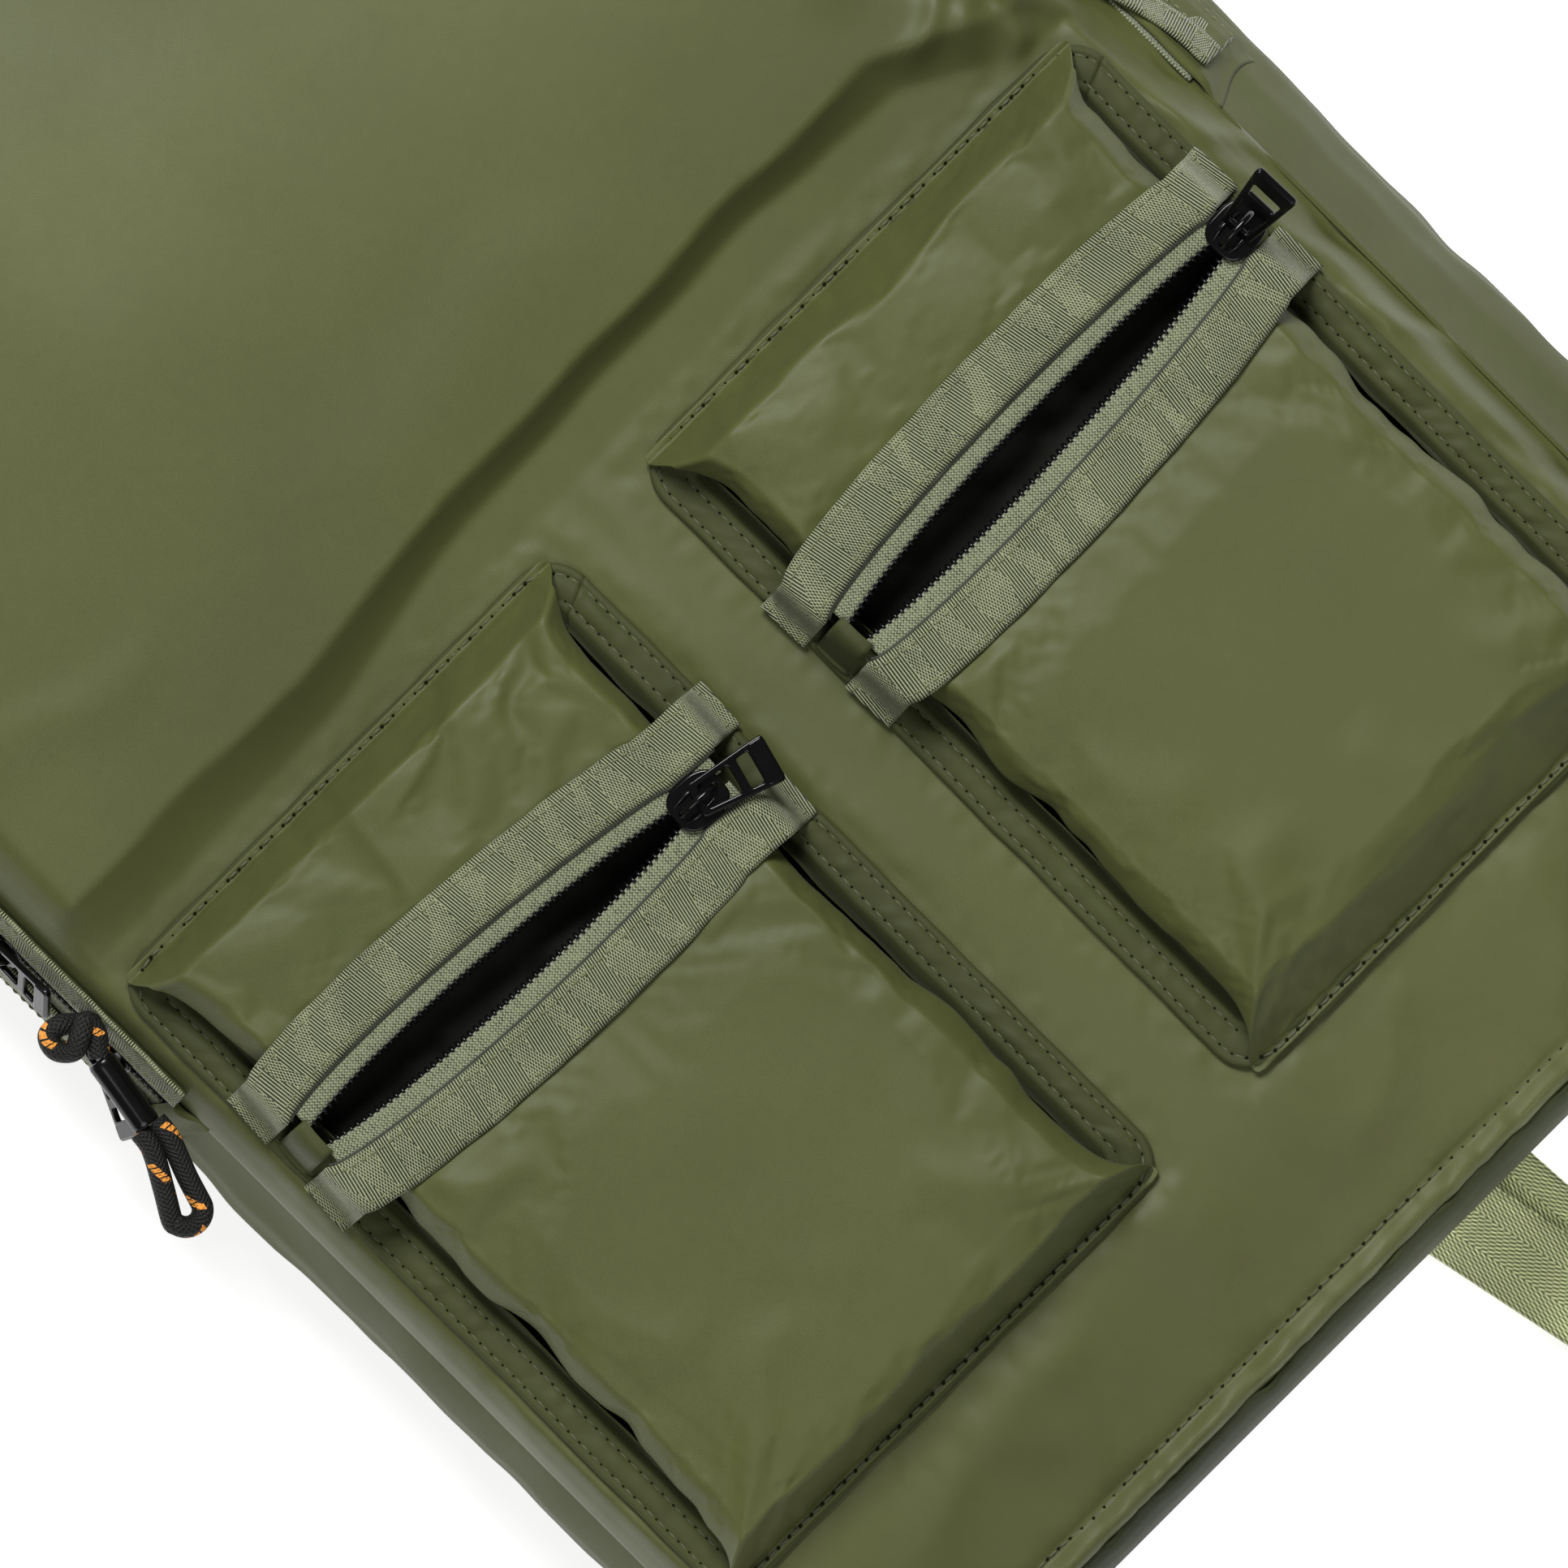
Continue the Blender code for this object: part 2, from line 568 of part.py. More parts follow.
def ladder_pull(name, frame):
    """A tapered frame that widens away from its hinge, with one bar across and a wide end."""
    near, far = PULL_NEAR, PULL_FAR

    def half(u):
        return near + (far - near) * u / PULL_LONG

    def window(first, last):
        a, b = half(first) - PULL_RAIL, half(last) - PULL_RAIL
        return [(first, -a), (last, -b), (last, b), (first, a)]

    outline = [(-1.0, -near + 0.8), (-0.2, -near), (PULL_LONG - 1, -far), (PULL_LONG, -far + 1)]
    outline += [(x, -y) for x, y in reversed(outline)]
    body = as_mesh(plate(name, outline, -PULL_THICK / 2, PULL_THICK / 2, BLACK_METAL))
    second = PULL_BAR_AT + PULL_BAR_WIDE
    windows = (window(1.0, PULL_BAR_AT), window(second, PULL_LONG - PULL_END_WIDE))
    cuts = [as_mesh(plate(f"window_{i}", w, -3.0, 3.0, BLACK_METAL, CUTTERS)) for i, w in enumerate(windows)]
    set_down(combine(body, cuts, "DIFFERENCE"), frame, BLACK_METAL)


def side_frame(y, turned):
    """The frame of a slider on the left run of the long zip, x along the sack or back along it."""
    s = LEFT_START + LENGTH - CORNER - y
    origin = shell(s, 0.0)
    out = (shell(s, 0.0, 1.0) - origin).normalized()
    along = Vector((0, turned, 0))
    across = out.cross(along)
    turn = Matrix((along, across, out)).transposed().to_4x4()
    return Matrix.Translation(origin) @ turn


def side_sliders():
    for name, (y, turned, yaw, pitch) in (("upper", UPPER_SLIDER), ("lower", LOWER_SLIDER)):
        home = side_frame(y, turned)
        zip_slider(f"main_slider_{name}", home)
        ladder_pull(f"main_pull_{name}", home @ hinge(yaw, pitch))


def pull_cord():
    """The cord on the upper pull: a hitch round the pull's end, a knot, a sleeve and a loop."""
    top, low = (place(*p) for p in SLEEVE)
    along = (low - top).normalized()
    sleeve_long = (low - top).length
    bm = bmesh.new()
    wide = SLEEVE_RADIUS * MM
    bmesh.ops.create_cone(bm, cap_ends=True, segments=16, radius1=wide, radius2=wide, depth=sleeve_long)
    mesh = bpy.data.meshes.new("pull_cord_sleeve")
    bm.to_mesh(mesh)
    bm.free()
    sleeve = add("pull_cord_sleeve", mesh, BLACK_PLASTIC)
    turn = along.to_track_quat("Z", "Y").to_matrix().to_4x4()
    sleeve.matrix_world = Matrix.Translation((top + low) / 2) @ turn

    bm = bmesh.new()
    bmesh.ops.create_uvsphere(bm, u_segments=12, v_segments=8, radius=MM)
    mesh = bpy.data.meshes.new("pull_cord_knot")
    bm.to_mesh(mesh)
    bm.free()
    mesh.transform(Matrix.Diagonal((*KNOT_RADII, 1)))
    knot = add("pull_cord_knot", mesh, BLACK_CORD)
    knot.location = place(*KNOT_AT)

    end = place(*LOOP_END)
    aside = along.cross(Vector((0, 0, 1))).normalized() * MM
    leave = low + along * 0.3 * MM
    mid = leave.lerp(end, 0.6)
    route = [
        leave + aside * 3.3,
        leave + aside * 3.5 + along * 5 * MM,
        mid + aside * 4.2,
        end + aside * 3.5 - along * 1.5 * MM,
        end - aside * 3.5 - along * 1.5 * MM,
        mid - aside * 4.2,
        leave - aside * 3.5 + along * 5 * MM,
        leave - aside * 3.3,
    ]
    tube("pull_cord_loop", smooth(route, 26), CORD / 2, BLACK_CORD)


# The sling


def sling_turn():
    """The angle of the sling's long run to the sack's length."""
    fold_x = STRAP_X - math.tan(math.radians(STRAP_TURN)) * STRAP_FOLD_Y
    return math.atan2(fold_x, LENGTH - STRAP_FOLD_Y)


def strap_plan(y, outgoing=False):
    """Where the sling lies in plan, out from the bottom edge or back under the sack."""
    if outgoing:
        return Vector((STRAP_X - math.tan(math.radians(STRAP_TURN)) * y, y))
    return Vector((math.tan(sling_turn()) * (LENGTH - y), y))


def sling():
    out_turn, back_turn = math.radians(STRAP_TURN), sling_turn()
    outgoing = ((5.0, 12.5), (0.5, 11.0), (-7.0, 8.2), (-18.0, 6.2))
    outgoing += ((-30.0, 5.7), (-60.0, 5.7), (-88.0, 5.7))
    fold = ((-96.0, 6.3), (-101.5, 5.7), (-103.4, 3.5), (-101.5, 1.3), (-95.0, 0.95))
    under = ((-60.0, 0.95), (8.0, 0.95), (150.0, 0.95), (300.0, 0.95), (450.0, 0.95), (588.0, 0.95))
    top = ((591.6, 2.0), (593.8, 5.4), (595.2, 11.0), (599.0, 19.0))
    rows = []
    for y, z in outgoing:
        rows.append((strap_plan(y, True), z, out_turn))
    for i, (y, z) in enumerate(fold):
        blend = (i + 1) / len(fold)
        plan = strap_plan(y, True).lerp(strap_plan(y), blend)
        rows.append((plan, z, out_turn + (back_turn - out_turn) * blend))
    for y, z in under + top:
        rows.append((strap_plan(y), z, back_turn))
    points = []
    for plan, z, turn in rows:
        aside = Vector((math.cos(turn), math.sin(turn))) * STRAP_WIDE / 2
        points.append([place(*(plan - aside), z), place(*(plan + aside), z)])
    sheet("sling_webbing", points, STRAP_THICK, STRAP_GREEN)


def adjuster():
    """A three-bar slide: two bars over the webbing, one under it, and a rail on each side."""
    half_x, half_y = ADJUSTER
    inside = STRAP_WIDE / 2 + 0.8
    body = as_mesh(plate("sling_adjuster", rounded_box(half_x, half_y, 3.0), 2.3, 9.2, BLACK_PLASTIC))
    shaft = block("shaft", (-inside, -20, 4.6), (inside, 20, 6.9), BLACK_PLASTIC, CUTTERS)
    above = block("above", (-inside, -half_y + 4, 4.6), (inside, half_y - 4, 20), BLACK_PLASTIC, CUTTERS)
    below_a = block("below_a", (-inside, 2.2, -5), (inside, 20, 6.9), BLACK_PLASTIC, CUTTERS)
    below_b = block("below_b", (-inside, -20, -5), (inside, -2.2, 6.9), BLACK_PLASTIC, CUTTERS)
    body = combine(body, [shaft, above, below_a, below_b], "DIFFERENCE")
    plan = strap_plan(ADJUSTER_Y, True)
    turn = Matrix.Rotation(math.radians(STRAP_TURN), 4, "Z")
    set_down(body, Matrix.Translation(place(*plan, 0.0)) @ turn, BLACK_PLASTIC)


def haul_loop():
    """A webbing handle on edge behind the top of the back."""
    foot = LENGTH + 1.4
    plan = [(-LOOP_HALF - 10, foot), (-LOOP_HALF, foot), (-LOOP_HALF + 3, foot + 4)]
    plan += [(-LOOP_HALF + 10, LOOP_OUT - 9), (-LOOP_HALF + 20, LOOP_OUT - 2), (-10, LOOP_OUT)]
    plan += [(-x, y) for x, y in reversed(plan)]
    rows = [[place(x, y, z) for z in (LOOP_LOW, LOOP_HIGH)] for x, y in plan]
    sheet("haul_loop", rows, FABRIC, WEBBING)


def main():
    back_panel()
    body_walls()
    front_panels()
    long_zip()
    for index in range(2):
        pocket(index)
    side_sliders()
    pull_cord()
    sling()
    adjuster()
    haul_loop()


main()
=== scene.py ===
import math

import bpy
import numpy as np
from mathutils import Matrix, Vector

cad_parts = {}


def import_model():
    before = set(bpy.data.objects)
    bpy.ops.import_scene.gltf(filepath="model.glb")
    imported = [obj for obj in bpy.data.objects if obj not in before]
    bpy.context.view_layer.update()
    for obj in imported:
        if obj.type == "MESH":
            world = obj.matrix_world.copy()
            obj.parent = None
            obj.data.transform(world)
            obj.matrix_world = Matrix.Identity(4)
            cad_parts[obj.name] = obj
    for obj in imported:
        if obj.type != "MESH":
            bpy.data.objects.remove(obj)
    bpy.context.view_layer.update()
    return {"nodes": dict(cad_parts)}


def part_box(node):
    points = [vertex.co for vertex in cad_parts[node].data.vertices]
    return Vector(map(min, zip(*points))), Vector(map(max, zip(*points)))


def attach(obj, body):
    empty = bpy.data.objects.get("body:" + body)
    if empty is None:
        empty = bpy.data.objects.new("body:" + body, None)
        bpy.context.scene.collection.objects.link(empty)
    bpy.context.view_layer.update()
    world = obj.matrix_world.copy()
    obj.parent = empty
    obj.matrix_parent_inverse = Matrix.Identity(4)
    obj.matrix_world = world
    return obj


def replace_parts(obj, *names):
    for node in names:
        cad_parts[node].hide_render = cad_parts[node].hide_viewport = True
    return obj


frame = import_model()

# The sack is drawn as its CAD is, in millimetres: x across, y from its bottom edge, z out of its front.
MM = 0.001
HALF_WIDTH, LENGTH, CORNER = 206.5, 600.0, 62.0
BACK_INSET = 10.0
back_low, back_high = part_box("back_panel")
ORIGIN = np.array([-(back_low.x + back_high.x) / 2 / MM, BACK_INSET - back_low.y / MM, 0.0])
LEAN, LEAN_FROM, LEAN_TO = 6.5, 20.0, 90.0

POCKET_X = (-105.0, 88.5)
POCKET_HALF, POCKET_LOW, POCKET_HIGH, POCKET_ZIP = 82.0, 65.0, 296.0, 225.0
POCKET_MIDDLE = (POCKET_LOW + POCKET_HIGH) / 2
POCKET_REACH = (POCKET_HIGH - POCKET_LOW) / 2
POCKET_TILT = (-3.5, 1.7)  # degrees
FLANGE_ROUND, FLANGE_Z = 12.0, 98.1
FACE_INSET = 13.4  # from the flange's outer edge to the face's side
SEWN_Z, FACE_RISE, FACE_EDGE_Z = 99.9, 18.2, 111.0
# how far each face takes to rise from its sewn end
FACET = {("left", "upper"): 9.0, ("left", "lower"): 6.5,
         ("right", "upper"): 10.0, ("right", "lower"): 13.0}
TAPE_Z, TAPE_WIDE, TAPE_SEEN = 117.0, 8.0, 6.0
TRIM_WIDE, TRIM_LIFT, TRIM_THICK = 15.5, 1.5, 1.2
MOUTH_HALF, MOUTH_FROM, SLIT = 6.8, -74.0, 1.6
SLIDER_AT = (62.0, 74.0)  # along each pocket's zip from its middle
PULL_YAW, PULL_PITCH = (-11.5, 0.0), (-2.0, 50.0)  # degrees, on each pocket
HINGE_UP = 4.2
STRAP_WIDE, STRAP_THICK, STRAP_X, STRAP_TURN, STRAP_FOLD_Y = 25.0, 1.7, 21.0, 11.6, -100.0
UPPER_SLIDER = (326.0, 1.0, -162.0, 8.0)  # y, turned, the pull's yaw and pitch
LOWER_SLIDER = (285.0, -1.0, -12.0, 20.0)


def world(points):
    """Millimetres of the sack's drawing to metres of the frame."""
    return (np.asarray(points, float) - ORIGIN) * MM


def ramp(x):
    """0 below 0, 1 above 1, and an even curve between."""
    t = np.clip(x, 0.0, 1.0)
    return t * t * (3 - 2 * t)


def lean(z):
    """The front's shift across, over the back, at a height: below 0, as it is to the left."""
    return -LEAN * ramp((np.asarray(z, float) - LEAN_FROM) / (LEAN_TO - LEAN_FROM))


def hill(x, centre, wide):
    """A smooth hill, 1 at its centre."""
    return np.exp(-((x - centre) / wide) ** 2)


def outside(past_x, past_y):
    """How far a point is outside a rectangle, from how far it is past each pair of sides."""
    past = np.hypot(np.maximum(past_x, 0), np.maximum(past_y, 0))
    return past + np.minimum(np.maximum(past_x, past_y), 0)


def ripple(x, y, seed):
    """Smooth noise from -1 to 1, one lump for each unit of x and y."""
    table = np.random.default_rng(seed).random((64, 64)) * 2 - 1
    x, y = np.broadcast_arrays(np.asarray(x, float), np.asarray(y, float))
    i, j = np.floor(x).astype(int), np.floor(y).astype(int)
    fx, fy = ramp(x - i), ramp(y - j)
    a, b = table[i % 64, j % 64], table[(i + 1) % 64, j % 64]
    c, d = table[i % 64, (j + 1) % 64], table[(i + 1) % 64, (j + 1) % 64]
    return (a * (1 - fx) + b * fx) * (1 - fy) + (c * (1 - fx) + d * fx) * fy


def beside(x, y, x0, y0, x1, y1):
    """Where points lie by a line: their share of its length, and how far to its right."""
    dx, dy = x1 - x0, y1 - y0
    long = math.hypot(dx, dy)
    along = ((x - x0) * dx + (y - y0) * dy) / long**2
    return along, ((x - x0) * dy - (y - y0) * dx) / long


def folds(x, y, lines):
    """The height of soft folds, each (x0, y0, x1, y1, width, height), that fade towards their ends."""
    total = np.zeros(np.broadcast(x, y).shape)
    for *line, width, height in lines:
        along, aside = beside(x, y, *line)
        aside = aside + width * 0.35 * np.sin(along * 7.0 + line[0])
        fade = ramp((along + 0.15) / 0.4) * ramp((1.15 - along) / 0.4)
        total = total + height * fade * np.exp(-((aside / width) ** 2))
    return total


# Materials


class Tree:
    """A material's nodes, with short calls for the arithmetic between them."""

    def __init__(self, name):
        self.material = bpy.data.materials.new(name)
        self.material.use_nodes = True
        self.tree = self.material.node_tree
        self.shader = self.tree.nodes["Principled BSDF"]

    def put(self, socket, value):
        if isinstance(value, bpy.types.NodeSocket):
            self.tree.links.new(value, socket)
        else:
            socket.default_value = value

    def node(self, kind, **settings):
        made = self.tree.nodes.new(kind)
        for key, value in settings.items():
            setattr(made, key, value)
        return made

    def math(self, operation, a, b=0.0, c=0.0):
        made = self.node("ShaderNodeMath", operation=operation)
        for socket, value in zip(made.inputs, (a, b, c)):
            self.put(socket, value)
        return made.outputs[0]

    def mix(self, factor, a, b):
        made = self.node("ShaderNodeMix", data_type="RGBA")
        self.put(made.inputs["Factor"], factor)
        for socket, value in ((made.inputs["A"], a), (made.inputs["B"], b)):
            self.put(socket, (*value, 1.0) if isinstance(value, tuple) else value)
        return made.outputs["Result"]

    def flat(self):
        """The cloth's own coordinates, in millimetres: along and across."""
        split = self.node("ShaderNodeSeparateXYZ")
        uv = self.node("ShaderNodeUVMap", uv_map="flat")
        self.tree.links.new(uv.outputs["UV"], split.inputs[0])
        return split.outputs[0], split.outputs[1]

    def noise(self, scale, detail=2.0, vector=None):
        made = self.node("ShaderNodeTexNoise")
        made.inputs["Scale"].default_value = scale
        made.inputs["Detail"].default_value = detail
        if vector is None:
            vector = self.node("ShaderNodeTexCoord").outputs["Object"]
        self.tree.links.new(vector, made.inputs["Vector"])
        return made.outputs["Fac"]

    def wave(self, x, pitch, shift=0.0):
        """A sine from 0 to 1 that repeats every pitch."""
        turned = self.math("MULTIPLY_ADD", x, 2 * math.pi / pitch, shift)
        return self.math("MULTIPLY_ADD", self.math("SINE", turned), 0.5, 0.5)

    def bump(self, height, distance, strength=1.0, under=None):
        made = self.node("ShaderNodeBump")
        made.inputs["Strength"].default_value = strength
        made.inputs["Distance"].default_value = distance * MM
        self.put(made.inputs["Height"], height)
        if under is not None:
            self.tree.links.new(under, made.inputs["Normal"])
        return made.outputs["Normal"]

    def finish(self, colour, normal=None, **constants):
        colour = (*colour, 1.0) if isinstance(colour, tuple) else colour
        self.put(self.shader.inputs["Base Color"], colour)
        if normal is not None:
            self.tree.links.new(normal, self.shader.inputs["Normal"])
        for key, value in constants.items():
            self.put(self.shader.inputs[key.replace("_", " ")], value)
        return self.material


def nylon(name, colour, dark, rough=0.5, crinkle=0.12, shine=0.2):
    """A light satin nylon: fine threads, soft clouds of colour and a faint crinkle."""
    t = Tree(name)
    u, v = t.flat()
    warp, weft = t.wave(u, 0.42), t.wave(v, 0.42)
    threads = t.math("MULTIPLY", warp, weft)
    clouds = t.noise(9.0, 3.0)
    fine = t.noise(260.0, 3.0)
    tint = t.mix(t.math("MULTIPLY_ADD", clouds, 2.6, -0.8), dark, colour)
    shade = t.mix(t.math("MULTIPLY", threads, 0.22), tint, tuple(c * 1.5 for c in colour))
    speck = t.mix(t.math("MULTIPLY", fine, 0.22), shade, tuple(c * 0.55 for c in dark))
    soft = t.bump(t.noise(70.0, 4.0), crinkle, 0.6)
    normal = t.bump(threads, 0.05, 0.5, soft)
    rough_map = t.math("MULTIPLY_ADD", t.noise(28.0, 3.0), 0.16, rough - 0.08)
    return t.finish(speck, normal, Roughness=rough_map, Sheen_Weight=0.03,
                    Sheen_Roughness=0.4, Specular_IOR_Level=shine)


def webbing(name, light, dark, rib=0.8, block=6.5):
    """A ribbed tape: ribs across it, broken into blocks where the threads show as dots."""
    t = Tree(name)
    u, v = t.flat()
    drift = t.math("MULTIPLY_ADD", v, 0.16, u)
    ribs = t.wave(drift, rib)
    lanes = t.wave(v, 1.7)
    both = t.math("MULTIPLY", ribs, lanes)
    neither = t.math("MULTIPLY", t.math("SUBTRACT", 1.0, ribs), t.math("SUBTRACT", 1.0, lanes))
    dots = t.math("ADD", both, neither)
    blocks = t.wave(t.math("MULTIPLY_ADD", t.noise(45.0, 1.0), 26.0, u), block * 2)
    pick = t.math("GREATER_THAN", blocks, 0.55)
    ribbed = t.math("MULTIPLY", ribs, t.math("SUBTRACT", 1.0, pick))
    raised = t.math("ADD", ribbed, t.math("MULTIPLY", dots, pick))
    height = t.math("MULTIPLY_ADD", t.noise(1500.0, 1.0), 0.35, raised)
    patches = t.math("MULTIPLY_ADD", t.noise(60.0, 2.0), 0.8, -0.4)
    share = t.math("ADD", t.math("MULTIPLY_ADD", height, 2.0, -0.80), patches)
    return t.finish(t.mix(share, dark, light), t.bump(height, 0.3, 0.9), Roughness=0.62,
                    Sheen_Weight=0.1, Sheen_Roughness=0.4, Specular_IOR_Level=0.3)


def knit(name, light, dark):
    """A zip's knitted tape: small chevrons."""
    t = Tree(name)
    u, v = t.flat()
    zigzag = t.math("ABSOLUTE", t.math("SUBTRACT", t.wave(v, 2.0), 0.5))
    rows = t.wave(t.math("MULTIPLY_ADD", zigzag, 1.3, u), 1.05)
    broken = t.math("MULTIPLY_ADD", t.noise(900.0, 2.0), 0.7, t.math("MULTIPLY", rows, 0.7))
    colour = t.mix(t.math("MULTIPLY_ADD", broken, 1.9, -0.5), dark, light)
    return t.finish(colour, t.bump(broken, 0.35, 0.9), Roughness=0.75,
                    Sheen_Weight=0.3, Sheen_Roughness=0.5, Specular_IOR_Level=0.3)


def herringbone(name, light, dark):
    """The sling's webbing: twill in bands that slant one way and the other."""
    t = Tree(name)
    u, v = t.flat()
    band = t.math("PINGPONG", v, 8.4)
    twill = t.wave(t.math("ADD", u, t.math("MULTIPLY", band, 1.7)), 2.1)
    yarn = t.wave(v, 0.95)
    height = t.math("ADD", t.math("MULTIPLY", twill, 0.55), t.math("MULTIPLY", yarn, 0.45))
    colour = t.mix(t.math("MULTIPLY_ADD", height, 1.8, -0.5), dark, light)
    return t.finish(colour, t.bump(height, 0.35, 0.8), Roughness=0.5,
                    Sheen_Weight=0.3, Sheen_Roughness=0.4, Specular_IOR_Level=0.45)


def thread(name, colour):
    """Sewing thread, darker between its turns."""
    t = Tree(name)
    twist = t.noise(2500.0, 1.0)
    tint = t.mix(twist, tuple(c * 0.5 for c in colour), colour)
    return t.finish(tint, t.bump(twist, 0.1, 0.5), Roughness=0.6,
                    Sheen_Weight=0.2, Sheen_Roughness=0.5)


def gloss(name, colour, rough, metallic=0.0):
    """Enamel or moulded plastic with faint wear."""
    t = Tree(name)
    wear = t.noise(120.0, 4.0)
    tint = t.mix(t.math("MULTIPLY", wear, 0.5), colour, tuple(c * 2.0 + 0.001 for c in colour))
    rough_map = t.math("MULTIPLY_ADD", wear, 0.12, rough - 0.06)
    return t.finish(tint, t.bump(t.noise(400.0, 2.0), 0.03, 0.2), Roughness=rough_map,
                    Metallic=metallic, Specular_IOR_Level=0.32)


def braid(name):
    """Black cord with a slanting orange fleck."""
    t = Tree(name)
    u, v = t.flat()
    a = t.wave(t.math("ADD", u, v), 1.35)
    b = t.wave(t.math("SUBTRACT", u, v), 1.35)
    height = t.math("MAXIMUM", a, b)
    lane = t.wave(t.math("MULTIPLY_ADD", u, 0.55, v), 14.4)
    stripe = t.math("GREATER_THAN", lane, 0.955)
    dash = t.math("GREATER_THAN", t.wave(u, 9.5), 0.30)
    bead = t.math("GREATER_THAN", t.wave(u, 1.5), 0.16)
    fleck = t.math("MULTIPLY", t.math("MULTIPLY", stripe, dash), bead)
    black = t.mix(height, (0.001, 0.001, 0.001), (0.012, 0.012, 0.011))
    return t.finish(t.mix(fleck, black, (0.85, 0.33, 0.05)), t.bump(height, 0.35, 0.9),
                    Roughness=0.6, Specular_IOR_Level=0.3)


OLIVE = nylon("olive_nylon", (0.091, 0.101, 0.029), (0.072, 0.080, 0.025), 0.5, 0.12, 0.28)
WALL_OLIVE = nylon("wall_nylon", (0.086, 0.095, 0.030), (0.066, 0.073, 0.026), 0.55, 0.12, 0.09)
POCKET_OLIVE = nylon("pocket_nylon", (0.090, 0.100, 0.029), (0.073, 0.082, 0.025), 0.48, 0.14, 0.24)
GUSSET_OLIVE = nylon("gusset_nylon", (0.066, 0.073, 0.026), (0.046, 0.051, 0.020), 0.55, 0.3, 0.12)
SHADE_OLIVE = nylon("shaded_nylon", (0.012, 0.014, 0.006), (0.007, 0.008, 0.004), 0.6, 0.2, 0.02)
# the inner walls' dark colour is painted shade: the same cloth, shaded under the faces' overhang
SHADED_INNER_OLIVE = nylon("inner_wall_painted_shade_nylon", (0.034, 0.038, 0.015), (0.022, 0.025, 0.010), 0.6, 0.25, 0.05)
# darker than the wall: painted shade, where the bottom roll turns away from the light
BINDING_SHADE_OLIVE = nylon("binding_painted_shade_nylon", (0.044, 0.052, 0.021), (0.022, 0.027, 0.012), 0.55, 0.2, 0.08)
# near-black cloth that paints the shade behind the zips' openings
PAINTED_SHADE_LINING = nylon("painted_shade_lining", (0.008, 0.009, 0.005), (0.004, 0.005, 0.003), 0.7, 0.2)
TRIM = webbing("ribbed_tape", (0.32, 0.345, 0.20), (0.012, 0.018, 0.008))
TAPE = knit("zip_knit", (0.27, 0.30, 0.175), (0.016, 0.024, 0.012))
# the light colour is raised well above the webbing's own: painted light that offsets the sack's cast shadow
# on the sling
STRAP = herringbone("sling_twill_painted_light", (0.70, 0.74, 0.40), (0.12, 0.15, 0.045))
# painted shadow: a dark line along the webbing's inner edge, where it meets the tape
TRIM_SHADOW_THREAD = thread("painted_shadow_thread", (0.020, 0.024, 0.011))
PALE_THREAD = thread("pale_thread", (0.19, 0.21, 0.085))
SEAM_THREAD = thread("seam_thread", (0.105, 0.11, 0.055))
ENAMEL = gloss("black_enamel", (0.0015, 0.0015, 0.0015), 0.14)
PLASTIC = gloss("black_plastic", (0.002, 0.002, 0.002), 0.2)
CORD_BLACK = braid("flecked_cord")


# Mesh makers


UP = (0.0, 0.0, 1.0)


def quads(index):
    """The faces between a grid of vertex numbers."""
    corners = [index[:-1, :-1], index[:-1, 1:], index[1:, 1:], index[1:, :-1]]
    return np.stack(corners, -1).reshape(-1, 4)


def flat_grid(along, across):
    """The weave's coordinates over a grid of points."""
    return np.stack(np.meshgrid(along, across, indexing="ij"), -1)


def between(far, values, where):
    """A line's points, or what goes with them, at distances along it."""
    return np.stack([np.interp(where, far, values[:, k]) for k in range(3)], -1)


def finished(name, mesh, look, body):
    """A mesh made a piece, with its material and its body."""
    mesh.materials.append(look)
    obj = bpy.data.objects.new(name, mesh)
    bpy.context.scene.collection.objects.link(obj)
    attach(obj, body)
    return obj


def mesh_of(name, verts, faces, uv=None):
    """A smooth-shaded mesh from points in millimetres."""
    mesh = bpy.data.meshes.new(name)
    faces = faces.tolist() if isinstance(faces, np.ndarray) else faces
    mesh.from_pydata(world(verts).tolist(), [], faces)
    if uv is not None:
        layer = mesh.uv_layers.new(name="flat")
        index = np.zeros(len(mesh.loops), np.int32)
        mesh.loops.foreach_get("vertex_index", index)
        layer.data.foreach_set("uv", np.asarray(uv, np.float32)[index].ravel())
    mesh.polygons.foreach_set("use_smooth", np.ones(len(mesh.polygons), bool))
    mesh.update()
    return mesh


def lengths(points):
    """The distance along a line of points, from its start."""
    steps = np.linalg.norm(np.diff(points, axis=0), axis=1)
    return np.concatenate([[0.0], np.cumsum(steps)])


def cloth(name, points, look, thick=0.5, body="root", uv=None, offset=-1.0):
    """A sheet through a grid of points, (rows, columns, 3), with its weave laid along and across it."""
    rows, columns = points.shape[:2]
    if uv is None:
        uv = flat_grid(lengths(points[:, columns // 2]), lengths(points[rows // 2]))
    faces = quads(np.arange(rows * columns).reshape(rows, columns))
    mesh = mesh_of(name, points.reshape(-1, 3), faces, uv.reshape(-1, 2))
    obj = finished(name, mesh, look, body)
    if thick:
        solid = obj.modifiers.new("thickness", "SOLIDIFY")
        solid.thickness = thick * MM
        solid.offset = offset
    return obj


SETTLING_FRAMES = 20


